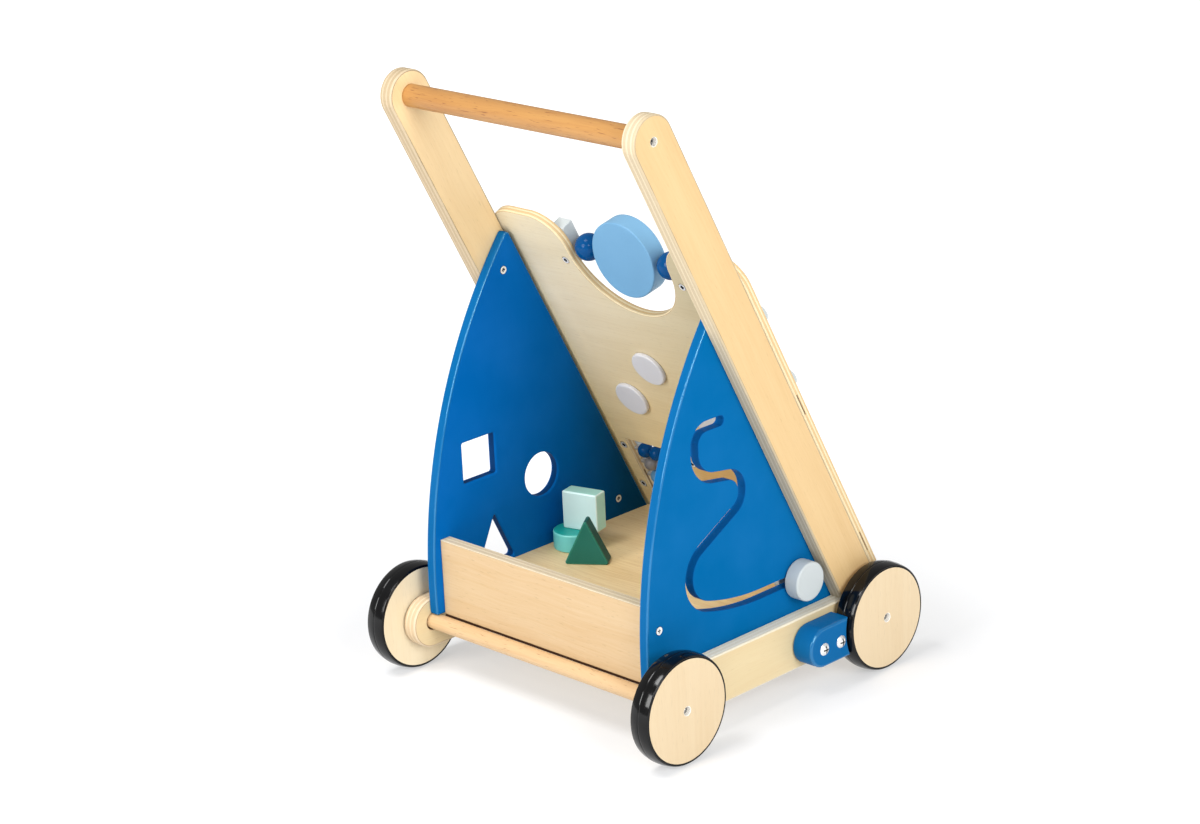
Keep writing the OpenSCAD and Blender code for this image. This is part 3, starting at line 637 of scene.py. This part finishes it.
# Painted shade: the screws sunk in the wheel and handle holes take a dark grey steel.
M["wheel_steel"] = steel("wheel_screw_steel", (0.2, 0.2, 0.2), 0.35, (YV, ZV, [(-106, 40.5), (106, 40.5), (HY, HZ)], 0.8, 1.9), 0.3)
# Painted shade: the middle row of beads is a darker grey, for the shade inside the window.
M["bead_grey"] = paint("bead_grey_painted_shade", lin(132, 128, 126), 0.3, 0.1, 0.05, spec=0.3)
M["rods"] = steel("rod_steel", (0.55, 0.55, 0.55), 0.32)
M["rubber"] = rubber("tyre_rubber", 0)
M["washer"] = paint("washer_plastic", lin(200, 198, 190), 0.5, 0.0, 0.05)

# ------------------------------------------------------------------ side frames

def mirrored(m):
    return Matrix.Scale(-1, 4, XV) @ m


def flat_piece(name, loops, radii, w0, w1, m, mats, body, nodes, seg=4, by=None, angle=38):
    """Plate with a face material, an edge material and a rounding material; by(centre, normal, kind) may choose another."""
    v, f, k = plate_data(loops, radii, w0, w1, m, seg)
    vol = outward(v, f)
    fm = []
    pick = {0: 0, 1: min(1, len(mats) - 1), 2: min(2, len(mats) - 1)}
    for face, kind in zip(vol, k):
        i = pick[kind]
        if by:
            c = sum((v[q] for q in face), Vector()) / len(face)
            n = (v[face[1]] - v[face[0]]).cross(v[face[2]] - v[face[0]])
            if n.length > 0:
                n.normalize()
            j = by(c * 1000.0, n, kind)
            i = i if j is None else j
        fm.append(i)
    return make(name, v, vol, mats, body, nodes, fm, angle)


a_end = (HZ - 58.0) / math.sin(SLOPE)
slant = math.cos(SLOPE) / math.sin(SLOPE)
arm_lp = [sl(a_end - 18.5 * slant, -18.5)]
arm_lp += [sl(18.5 * math.cos(math.radians(t)), 18.5 * math.sin(math.radians(t))) for t in [270 - 180 * i / 36 for i in range(37)]]
arm_lp += [sl(a_end + 18.5 * slant, 18.5)]
arm_lp = finer(tidy(arm_lp), 12.0)
arm_hole = circle(HY, HZ, 3.1, 32)

rail_lp = arc(-106, 39, 19, 90, 270, 32) + arc(106, 39, 19, -90, 90, 32)
rail_lp = finer(tidy(rail_lp), 12.0)
rail_holes = [circle(y, AXLE_Z - 0.4, 6.9, 40) for y in (-106, 106)]

for side, tag, m in ((1, "right", YZ), (-1, "left", mirrored(YZ))):
    e = "" if side > 0 else "_left"
    flat_piece("arm_" + tag + "_v", [arm_lp, arm_hole], [1.3, 0.3], ARM_IN, HALF_W, m,
               [M["arm" if side > 0 else "arm_far"], M["arm_edge" + e], M["arm_edge" + e], M["wheel_hole"]], "frame", ["arm_" + tag],
               by=lambda c, n, kind: 3 if kind and math.hypot(c.y - HY, c.z - HZ) < 4.5 else None)
    flat_piece("rail_" + tag + "_v", [rail_lp] + rail_holes, [1.3, 0.3, 0.3], ARM_IN, HALF_W, m,
               [M["rail"], M["rail_edge" + e], M["rail_edge" + e]], "frame", ["rail_" + tag])

# side panels: a sail with a straight front edge and a round back edge
SC, SR = (295.1, 64.9), 404.3
front = lambda z: sl((HZ - z + 16.0 * math.cos(SLOPE)) / math.sin(SLOPE), 16.0)[0]
lo, hi = 250.0, 360.0
for _ in range(60):
    z = (lo + hi) / 2
    if SC[0] - math.sqrt(SR ** 2 - (z - SC[1]) ** 2) < front(z):
        lo = z
    else:
        hi = z
tip = lo
zs = [46.9 + (tip - 46.9) * i / 70 for i in range(71)]
back_edge = [(SC[0] - math.sqrt(SR ** 2 - (z - SC[1]) ** 2), z) for z in zs]
sail = [(-86, 46.9), (-86, 24), (86, 24), (86, 46.9), (front(46.9), 46.9)]
fr_edge = [(front(z), z) for z in (100, 150, 200, 250, 290)]
sail_pts = sail + fr_edge + [(front(tip), tip)] + back_edge[-2::-1]
rad = [1] * 5 + [0] * 5 + [3.0] + [0] * (len(back_edge) - 2) + [2.0]
sail_lp = tidy(fillet(sail_pts, rad, 6))

panel_screw_yz = [sl(160, -3), sl(395, -5), (-72, 36), (-20, 36), (22, 36), (78, 36), (-96.5, 56), (-96.5, 88)]
screw_holes = [circle(y, z, 3.15, 28) for y, z in panel_screw_yz]


def walk(p, h, strokes, step=1.5):
    """Points and headings along straight and curved strokes."""
    out = []
    p = Vector(p)
    for q in strokes:
        if len(q) == 1:
            n = max(2, int(q[0] / step))
            d = Vector((math.cos(math.radians(h)), math.sin(math.radians(h))))
            out += [(p + d * (q[0] * i / n), h) for i in range(n)]
            p = p + d * q[0]
        else:
            r, turn = q
            g = 1 if turn > 0 else -1
            c = p + r * Vector((math.cos(math.radians(h + 90 * g)), math.sin(math.radians(h + 90 * g))))
            n = max(3, int(r * abs(math.radians(turn)) / step))
            for i in range(n):
                a = math.radians(h - 90 * g + turn * i / n)
                out.append((c + r * Vector((math.cos(a), math.sin(a))), h + turn * i / n))
            a = math.radians(h - 90 * g + turn)
            p = c + r * Vector((math.cos(a), math.sin(a)))
            h += turn
    out.append((p, h))
    return out


MAZE = [[13.8], [12.8, 90], [5.6], [20.9, 80.9], [16.7], [14.4, -143.1], [40.7], [23.9, 135.5], [192.5, 16.7], [40.4]]
path = walk((-28.316, 222.369), 180, MAZE)
W2 = 3.75
left_side = [(p.x - W2 * math.sin(math.radians(h)), p.y + W2 * math.cos(math.radians(h))) for p, h in path]
right_side = [(p.x + W2 * math.sin(math.radians(h)), p.y - W2 * math.cos(math.radians(h))) for p, h in path]
p0, h0 = path[0]
p1, h1 = path[-1]
slot_lp = right_side + arc(p1.x, p1.y, W2, h1 - 90, h1 + 90, 10)[1:-1] + left_side[::-1] + arc(p0.x, p0.y, W2, h0 + 90, h0 + 270, 10)[1:-1]


def panel_mat(far):
    """Faces, walls and roundings of a panel each get their own blue: the outer edges and the slot walls a little darker
    than the faces, the far panel's hole walls much darker.
    """
    def pick(c, n, kind):
        if kind == 0:
            return 0
        y, z = c.y, c.z
        outer = min(abs(math.hypot(y - SC[0], z - SC[1]) - SR), abs(y - front(z)), abs(z - 24.0), abs(z - 46.9)) < 2.6
        if kind == 1:
            return 1 if outer else 3
        return 2 if outer else 4
    return pick


flat_piece("side_panel_right_v", [sail_lp, slot_lp] + screw_holes, [1.1, 0.45] + [0.35] * 8, PANEL_IN, ARM_IN, YZ,
           [M["blue"], M["blue_edge"], M["blue_round"], M["blue_slot"], M["blue_slot"]], "frame", ["side_panel_right"], by=panel_mat(False))

square_lp = fillet([(-74.25, 140.05), (-41.75, 140.05), (-41.75, 171.55), (-74.25, 171.55)], 1.6, 5)
round_lp = circle(4, 125.5, 17, 72)
tri_lp = fillet([(-64.5, 70.5), (-27.5, 70.5), (-46, 109)], [2.2, 2.2, 1.2], 5)
flat_piece("side_panel_left_v", [sail_lp, square_lp, round_lp, tri_lp] + screw_holes, [1.1, 1.4, 1.4, 1.4] + [0.35] * 8,
           PANEL_IN, ARM_IN, mirrored(YZ), [M["blue_far"], M["blue_edge"], M["blue_round"], M["blue_hole"], M["blue_far"]],
           "frame", ["side_panel_left"], by=panel_mat(True))

# handle bar and axle dowels
XAX = lambda y, z: place(YV, ZV, XV, (0, y, z))


def bar_profile(r, h, c=0.8):
    return [(0, -h)] + round_profile([(0, -h), (r, -h), (r, h), (0, h)], [0, c, c, 0], 3)[1:-1] + [(0, h)]


lathe("handle_bar_v", bar_profile(8.3, 112.6, 0.2), XAX(HY, HZ), [M["beech"]], "frame", ["handle_bar"], 64)
for end, y in (("rear", -AXLE_Y), ("front", AXLE_Y)):
    lathe(end + "_axle_v", bar_profile(6.0, 127.35, 0.3), place(YV, ZV, XV, (AXLE_OFF, y, AXLE_Z)), [M["dowel"]], end + "_axle_set", [end + "_axle"], 56)

# tray
LIPM = place(XV, ZV, -YV, (0, 0, 0))
lip_lp = finer([(-104.45, 44.5), (104.45, 44.5), (104.45, 104.6), (-104.45, 104.6)], 15)
# the lip's bottom faces take the near black painted gap shadow
flat_piece("rear_lip_v", [lip_lp], [0.7], 91.5, 101.5, LIPM, [M["lip"], M["lip_edge"], M["lip_edge"], M["lip_dark"]], "frame", ["rear_lip"],
           by=lambda c, n, kind: 3 if kind and c.z < 46.2 and abs(c.x) < 104.3 else None)
flat_piece("tray_floor_v", [finer([(-104.4, -91.45), (104.4, -91.45), (104.4, 115.4), (-104.4, 115.4)], 20)], [0.4], 60.5, 68.5, place(XV, YV, ZV),
           [M["floor"], M["lip_edge"], M["floor"]], "frame", ["tray_floor"])

# ------------------------------------------------------------------ activity board

board_lp = []
board_lp += arc(98, 146, 26, 0, -90, 12)
board_lp += arc(78.5, 148, 28, -90, -180, 14)
board_lp += arc(0, 148, 50.5, 0, 180, 60)
board_lp += arc(-78.5, 148, 28, 0, -90, 14)
board_lp += arc(-98, 146, 26, -90, -180, 12)
board_lp += arc(-119, 427, 5, 180, 90, 5)
board_lp += arc(119, 427, 5, 90, 0, 5)
board_lp = finer(tidy(board_lp), 14)
window_lp = fillet([(-93.5, 349), (-34, 349), (-34, 404.5), (-93.5, 404.5)], 0.8, 3)
board_holes = [circle(x, s, 3.2, 28) for x, s in [(-58, 158.8), (58, 158.8)] + [(x, s) for x in (-99.8, -27.8) for s in (357.6, 399.4)]]
board_holes += [circle(k * 118.5, s, 3.2, 28) for k in (-1, 1) for s in (150, 232, 314, 396)]
board_holes += [circle(x, s, 4.1, 28) for x, s in [(-21.4, 256), (-58.4, 296), (15.6, 296)]]
board_holes += [circle(102, s, 2.1, 20) for s in (188, 249)]
flat_piece("activity_board_v", [board_lp, window_lp] + board_holes, [0.9, 0.35] + [0.3] * len(board_holes), BN, BF, SN,
           [M["board"], M["board_edge"], M["board_edge"]], "frame", ["activity_board"])

# spinner
ROD_S, ROD_N = 152.5, 30.3


def at_slope(u, v, w, x, s, n):
    return place(u, v, w, slope_pt(x, s, n))


lathe("spinner_rod_v", bar_profile(2.5, 53.2, 0.1), at_slope(YV, ZV, XV, 0, ROD_S, ROD_N), [M["rod"]], "frame", ["spinner_rod"], 40)
for k, tag in ((1, "right"), (-1, "left")):
    v, f = rounded_box(13, 33, 10.5, 0.9, at_slope(XV, DV, NV, 53 if k > 0 else -66, 133, BF), 4)
    several("spinner_holder_" + tag + "_v", [(v, f)], [M["grey"]], "frame", ["spinner_holder_" + tag])
    prof = [(2.65, -9.95)] + [(10.3 * math.cos(math.radians(t)), 10.3 * math.sin(math.radians(t))) for t in range(-72, 73, 4)] + [(2.65, 9.95)]
    lathe("spinner_ball_" + tag + "_v", prof, at_slope(YV, ZV, XV, k * 41, ROD_S, ROD_N), [M["navy"]], "spinner_ball_" + tag, ["spinner_ball_" + tag], 64, closed=True)
tilt = math.radians(13.1)
dn = Vector((0, -math.cos(tilt), -math.sin(tilt)))
du = Vector((0, -math.sin(tilt), math.cos(tilt)))
disc_prof = round_profile([(0, -7.3), (29.8, -7.3), (29.8, 7.3), (0, 7.3)], [0, 1.0, 1.0, 0], 5)
disc_prof = [(0, -7.3), (14, -7.3), (26, -7.3)] + disc_prof[1:-1] + [(26, 7.3), (14, 7.3), (0, 7.3)]
ob = lathe("spinner_disc_v", disc_prof, at_slope(XV, du, dn, 0, ROD_S, ROD_N), [M["sky"], M["sky_rim"]], "spinner_disc", ["spinner_disc"], 128)
for q in ob.data.polygons:
    if abs(q.normal.dot(dn)) < 0.7:
        q.material_index = 1

# turning knobs on the front
knob_prof = round_profile([(0, 0), (12, 0), (12, 3), (8, 3), (8, 12.8), (4.3, 12.8), (4.3, 9.9), (0, 9.9)], [0, 0.4, 1.0, 0.6, 1.5, 0.4, 0, 0], 4)
for tag, s in (("upper", 188), ("lower", 249)):
    lathe("knob_" + tag + "_v", knob_prof, at_slope(XV, DV, NV, 102, s, BF + 0.4), [M["grey"]], "knob_" + tag, ["knob_" + tag], 64)

# beads
for k, tag in ((1, "right"), (-1, "left")):
    v, f = rounded_box(12.5, 57.5, 6, 1.2, at_slope(XV, DV, NV, -34 if k > 0 else -106, 348, BF), 4)
    several("bead_strip_" + tag + "_v", [(v, f)], [M["grey"]], "frame", ["bead_strip_" + tag])
rods = []
for s in (363, 377, 391):
    v, f = lathe_data(bar_profile(1.75, 29.85, 0.1), at_slope(YV, ZV, XV, -63.75, s, BF - 1.8), 24)
    rods.append((v, f))
several("bead_rods_v", rods, [M["rods"]], "frame", ["bead_rods"])
bead_prof = [(1.9, -5.75)] + [(6 * math.cos(math.radians(t)), 6 * math.sin(math.radians(t))) for t in range(-70, 71, 7)] + [(1.9, 5.75)]
for tag, s, mat in (("upper", 363, "navy"), ("middle", 377, "bead_grey"), ("lower", 391, "sky")):
    parts = []
    for i in range(3):
        m = at_slope(YV, ZV, XV, -83.3 + i * 12.3, s, BF - 1.8)
        v, f = lathe_data(bead_prof, m, 40, closed=True)
        parts.append((v, f))
    several("beads_" + tag + "_v", parts, [M[mat]], "beads_" + tag, ["beads_" + tag])

# gears in mesh, and the discs behind the board
TEETH, GR = 10, 27.25
press = math.radians(25)
inv = lambda a: math.tan(a) - a
base_r, tip_r, root_r = GR * math.cos(press), GR + 4.3, GR - 5.6
half_tooth = (math.pi * GR / TEETH - 0.7) / 2 / GR


def flank(r):
    return half_tooth + inv(press) - (inv(math.acos(base_r / r)) if r > base_r else 0)


def gear_outline(phase):
    out = []
    fl = [base_r + 0.01 + (tip_r - base_r - 0.01) * i / 5 for i in range(6)]
    for k in range(TEETH):
        a = math.radians(phase) + 2 * math.pi * k / TEETH
        e = flank(base_r) + math.radians(1)
        pts = [(root_r, a - e)] + [(r, a - flank(r)) for r in fl] + [(r, a + flank(r)) for r in fl[::-1]] + [(root_r, a + e)]
        out += [(r * math.cos(t), r * math.sin(t)) for r, t in pts]
    n = len(out)
    radii = []
    for i in range(n):
        j = i % 14
        radii.append(1.3 if j in (0, 13) else 1.0 if j in (6, 7) else 0)
    return fillet(out, radii, 3)


gears = (("top", -21.4, 256, "sky"), ("left", -58.4, 296, "blue_gear"), ("right", 15.6, 296, "navy"))
for i, (tag, x, s, mat) in enumerate(gears):
    d = math.degrees(math.atan2(s - 256, x + 21.4))
    ph = 7 if i == 0 else 2 * d + 180 + 180 / TEETH - 7
    flat_piece("gear_" + tag + "_v", [gear_outline(ph), circle(0, 0, 4.05, 32)], [0.8, 0.3], 0, 8, at_slope(XV, DV, NV, x, s, BF + 0.6),
               [M[mat]], "gear_" + tag, ["gear_" + tag], seg=3)
    pin = BF + 8.6 - (BN - 3.3)
    prof = round_profile([(0, 0), (15, 0), (15, 3), (4, 3), (4, pin), (0, pin)], [0, 1.5, 0.3, 0, 0.4, 0], 5)
    prof = [(0, 0), (8, 0), (12, 0)] + prof[1:]
    lathe("gear_axle_" + tag + "_v", prof, at_slope(XV, DV, NV, x, s, BN - 3.3), [M["disc_grey"]], "gear_" + tag, ["gear_axle_" + tag], 80)

# ------------------------------------------------------------------ wheels

WW, HUB, TYRE = 16.5, 38.3, 40.49
wheel_prof = round_profile([(6.1, 0), (HUB, 0), (HUB, WW), (3.2, WW), (3.2, WW - 3.3), (0, WW - 3.3)], [0, 0.8, 0.8, 0.4, 0, 0], 4)
wheel_prof = [(0, 0.05), (6.1, 0.05)] + wheel_prof[1:]
wheel_prof = [p for p in wheel_prof if not (abs(p[0] - 6.1) < 1e-6 and p[1] == 0)]
crown = 26.0
tread = []
for i in range(33):
    w = 0.2 + (WW - 0.4) * i / 32
    r = TYRE - crown + math.sqrt(crown ** 2 - (w - WW / 2) ** 2)
    groove = 0.25 * math.exp(-((w - WW / 2) / 0.3) ** 2)
    tread.append((r - groove, w))
tyre_prof = [(HUB + 0.02, 0.2)] + round_profile([(HUB + 0.02, 0.2)] + tread + [(HUB + 0.02, WW - 0.2)], [0, 0.6] + [0] * 31 + [0.6, 0], 3)[1:-1] + [(HUB + 0.02, WW - 0.2)]
for k, tag in ((1, "right"), (-1, "left")):
    for end, y in (("rear", -AXLE_Y), ("front", AXLE_Y)):
        m = place(YV, ZV, XV * k, (k * 127.25 + AXLE_OFF, y, AXLE_Z))
        ob = lathe("wheel_%s_%s_v" % (end, tag), wheel_prof, m, [M["wheel" if k > 0 else "wheel_far"], M["wheel_hole"], M["rubber"]], end + "_axle_set", ["wheel_%s_%s" % (end, tag)], 128)
        for q in ob.data.polygons:
            # the wheel's centre hole takes the near white painted highlight
            c = q.center * 1000
            if math.hypot(c.y - y, c.z - AXLE_Z) < 3.7 and abs(c.x - AXLE_OFF) > 135:
                q.material_index = 1
            elif math.hypot(c.y - y, c.z - AXLE_Z) > HUB - 0.8:
                q.material_index = 2
        lathe("tyre_%s_%s_v" % (end, tag), tyre_prof, m, [M["rubber"]], end + "_axle_set", ["tyre_%s_%s" % (end, tag)], 160, closed=True)

# brake blocks
BZ, BR, BS = 37.9, 15.0, 36.7
half = math.degrees(math.asin((BZ + BR - AXLE_Z) / (TYRE + 0.7)))
half2 = math.degrees(math.asin((AXLE_Z - (BZ - BR)) / (TYRE + 0.7)))
brake_pts = arc(40.3, BZ, BR, 90, 270, 32) + arc(AXLE_Y, AXLE_Z, TYRE + 0.7, 180 + half2, 180 - half, 18)
brake_lp = tidy(brake_pts)
brake_screw_holes = []
for y in (39.9, 58):
    brake_screw_holes.append(arc(y - 0.3, BS, 2.3, 90, 270, 10) + arc(y + 2.5, BS, 2.3, -90, 90, 10))
for k, tag in ((1, "right"), (-1, "left")):
    flat_piece("brake_block_" + tag + "_v", [brake_lp] + brake_screw_holes, [1.7, 0.2, 0.2], 124.6, 142.6, YZ if k > 0 else mirrored(YZ),
               [M["blue_brake"], M["blue_brake"], M["blue_round"]], "brake_" + tag, ["brake_block_" + tag], angle=50)

# maze knob
mk = round_profile([(2.7, 0), (14.7, 0), (14.7, 12.6), (0, 12.6)], [0, 1.5, 1.5, 0], 5)
mk = mk[:-1] + [(8, 12.6), (0, 12.6)]
lathe("maze_knob_v", [(0, 0.3), (2.7, 0.3)] + mk[1:], place(YV, ZV, XV, (113.1, 46, 82.6)), [M["grey"]], "maze_knob", ["maze_knob"], 96)

# ------------------------------------------------------------------ loose blocks

cyl = round_profile([(0, 0), (16, 0), (16, 14), (0, 14)], [0, 1.2, 1.2, 0], 4)
cyl = [(0, 0), (10, 0)] + cyl[1:-1] + [(10, 14), (0, 14)]
def edged(ob, mat, axes):
    """Gives the roundings of a block, the faces that point along none of the axes, a lighter copy of its paint as a
    painted highlight.
    """
    ob.data.materials.append(mat)
    k = len(ob.data.materials) - 1
    for q in ob.data.polygons:
        if all(abs(q.normal.dot(a)) < 0.97 for a in axes):
            q.material_index = k


ob = lathe("block_round_v", cyl, place(XV, YV, ZV, (-85.3, 16, 68.52)), [M["teal"], M["teal_edge"], M["teal_top"]], "block_round", ["block_round"], 80)
# roundings take the painted highlight, flat ends the painted shade
for q in ob.data.polygons:
    if abs(q.normal.z) > 0.15:
        q.material_index = 1 if abs(q.normal.z) < 0.97 else 2
a = math.radians(14.5)
bx, by_ = Vector((math.cos(a), math.sin(a), 0)), Vector((-math.sin(a), math.cos(a), 0))
o = Vector((-80, 22.5, 82.54)) - bx * 15.1 - by_ * 7.0
v, f = rounded_box(30.2, 14, 30, 1.6, place(bx, by_, ZV, o), 5)
ob = several("block_square_v", [(v, f)], [M["mint"]], "block_square", ["block_square"])
edged(ob, M["mint_edge"], (bx, by_, ZV))
ob.data.materials.append(M["mint_top"])
ob.data.materials.append(M["mint_side"])
# the top takes the painted shade and the narrow sides the painted light
for q in ob.data.polygons:
    if abs(q.normal.z) > 0.97:
        q.material_index = 2
    elif abs(q.normal.dot(bx)) > 0.97:
        q.material_index = 3
a = math.radians(34.7)
bx, by_ = Vector((math.cos(a), math.sin(a), 0)), Vector((-math.sin(a), math.cos(a), 0))
tri = fillet([(-17.2, 0), (17.2, 0), (0, 35.8)], [1.6, 1.6, 1.6], 5)
flat_piece("block_triangle_v", [tri], [1.1], -7, 7, place(bx, ZV, -by_, (-54.4, -0.4, 68.52)), [M["green"], M["green_wall"], M["green_edge"]], "block_triangle", ["block_triangle"])

# ------------------------------------------------------------------ CAD pieces that stay: screws, washers, the maze's stem

for n, ob in NODES.items():
    if n == "brake_screws":
        mat = M["brake_steel"]
    elif n.startswith(("rear_wheel", "front_wheel", "handle")) and n.endswith("screws"):
        mat = M["wheel_steel"]
    elif n in ("holder_screws", "board_screws", "knob_screws"):
        mat = M["back_steel"]
    elif n.endswith("screws"):
        mat = M["steel"]
    elif n.endswith("washers"):
        mat = M["washer"]
    elif n == "maze_stem":
        mat = M["grey"]
    else:
        continue
    ob.data.materials.clear()
    ob.data.materials.append(mat)

# ------------------------------------------------------------------ camera, floor and light

cam = bpy.data.cameras.new("camera")
cam.sensor_fit = "HORIZONTAL"
cam.sensor_width = 36.0
cam.lens = 94.742
cam.clip_start, cam.clip_end = 0.05, 60.0
co = bpy.data.objects.new("camera", cam)
bpy.context.scene.collection.objects.link(co)
az, el, ro = math.radians(45.762), math.radians(18.784), math.radians(-2.786)
back = Vector((math.sin(az) * math.cos(el), -math.cos(az) * math.cos(el), math.sin(el)))
right = Vector((math.cos(az), math.sin(az), 0.0))
up = back.cross(right)
r2 = right * math.cos(ro) + up * math.sin(ro)
u2 = -right * math.sin(ro) + up * math.cos(ro)
rot = Matrix((r2, u2, back)).transposed().to_4x4()
co.matrix_world = Matrix.Translation(Vector((1.527726, -1.521386, 0.932095))) @ rot
bpy.context.scene.camera = co

size = 9.0
fm = bpy.data.meshes.new("floor")
fm.from_pydata([(-size, -size, -0.0002), (size, -size, -0.0002), (size, size, -0.0002), (-size, size, -0.0002)], [], [(0, 1, 2, 3)])
floor = bpy.data.objects.new("floor", fm)
bpy.context.scene.collection.objects.link(floor)
fmat = Mat("studio_floor")
fn = fmat.noise(fmat.p, 3.0, 2.0)
fmat.set(Base_Color=fmat.mix(fn, (0.48, 0.485, 0.495), (0.50, 0.505, 0.515)), Roughness=0.75, Specular_IOR_Level=0.05)
# The floor glows: weakly within about 0.25 m of the walker so that its shadows show, then more strongly further out
# until the ground is plain white.
fmat.b.inputs["Emission Color"].default_value = (1.0, 1.0, 1.0, 1.0)
far = fmat.add("ShaderNodeVectorMath", operation="LENGTH")
fmat.put(far.inputs[0], fmat.p)
near = fmat.span(far.outputs["Value"], 0.24, 0.48, 0.445, 0.70)
fmat.put(fmat.b.inputs["Emission Strength"], fmat.math("MAXIMUM", near, fmat.span(far.outputs["Value"], 0.48, 2.0, 0.445, 1.0)))
fm.materials.append(fmat.mat)


def lamp(name, loc, target, size, power, color=(1, 1, 1), size_y=None):
    l = bpy.data.lights.new(name, "AREA")
    l.shape = "RECTANGLE"
    l.size, l.size_y = size, size_y or size
    l.energy = power
    l.color = color
    o = bpy.data.objects.new(name, l)
    bpy.context.scene.collection.objects.link(o)
    d = Vector(target) - Vector(loc)
    o.matrix_world = Matrix.Translation(Vector(loc)) @ d.to_track_quat("-Z", "Y").to_matrix().to_4x4()
    return o


lamp("left", (-0.25, -2.7, 1.3), (0, 0, 0.2), 1.1, 45.5, (1.0, 0.995, 0.985))
lamp("right", (2.6, -0.65, 1.4), (0, 0, 0.2), 1.3, 53, (1.0, 0.995, 0.985))
lamp("top", (-0.25, -1.2, 2.55), (0, 0, 0.1), 0.9, 36)
lamp("front", (2.0, -2.0, 1.75), (0, 0, 0.25), 0.3, 8)

world = bpy.data.worlds.new("world")
bpy.context.scene.world = world
world.use_nodes = True
bg = world.node_tree.nodes.get("Background") or world.node_tree.nodes.new("ShaderNodeBackground")
bg.inputs[0].default_value = (1, 1, 1, 1)
bg.inputs[1].default_value = 0.42

vs = bpy.context.scene.view_settings
vs.view_transform = "Standard"
vs.look = "None"
vs.exposure = 0.0
vs.gamma = 1.0
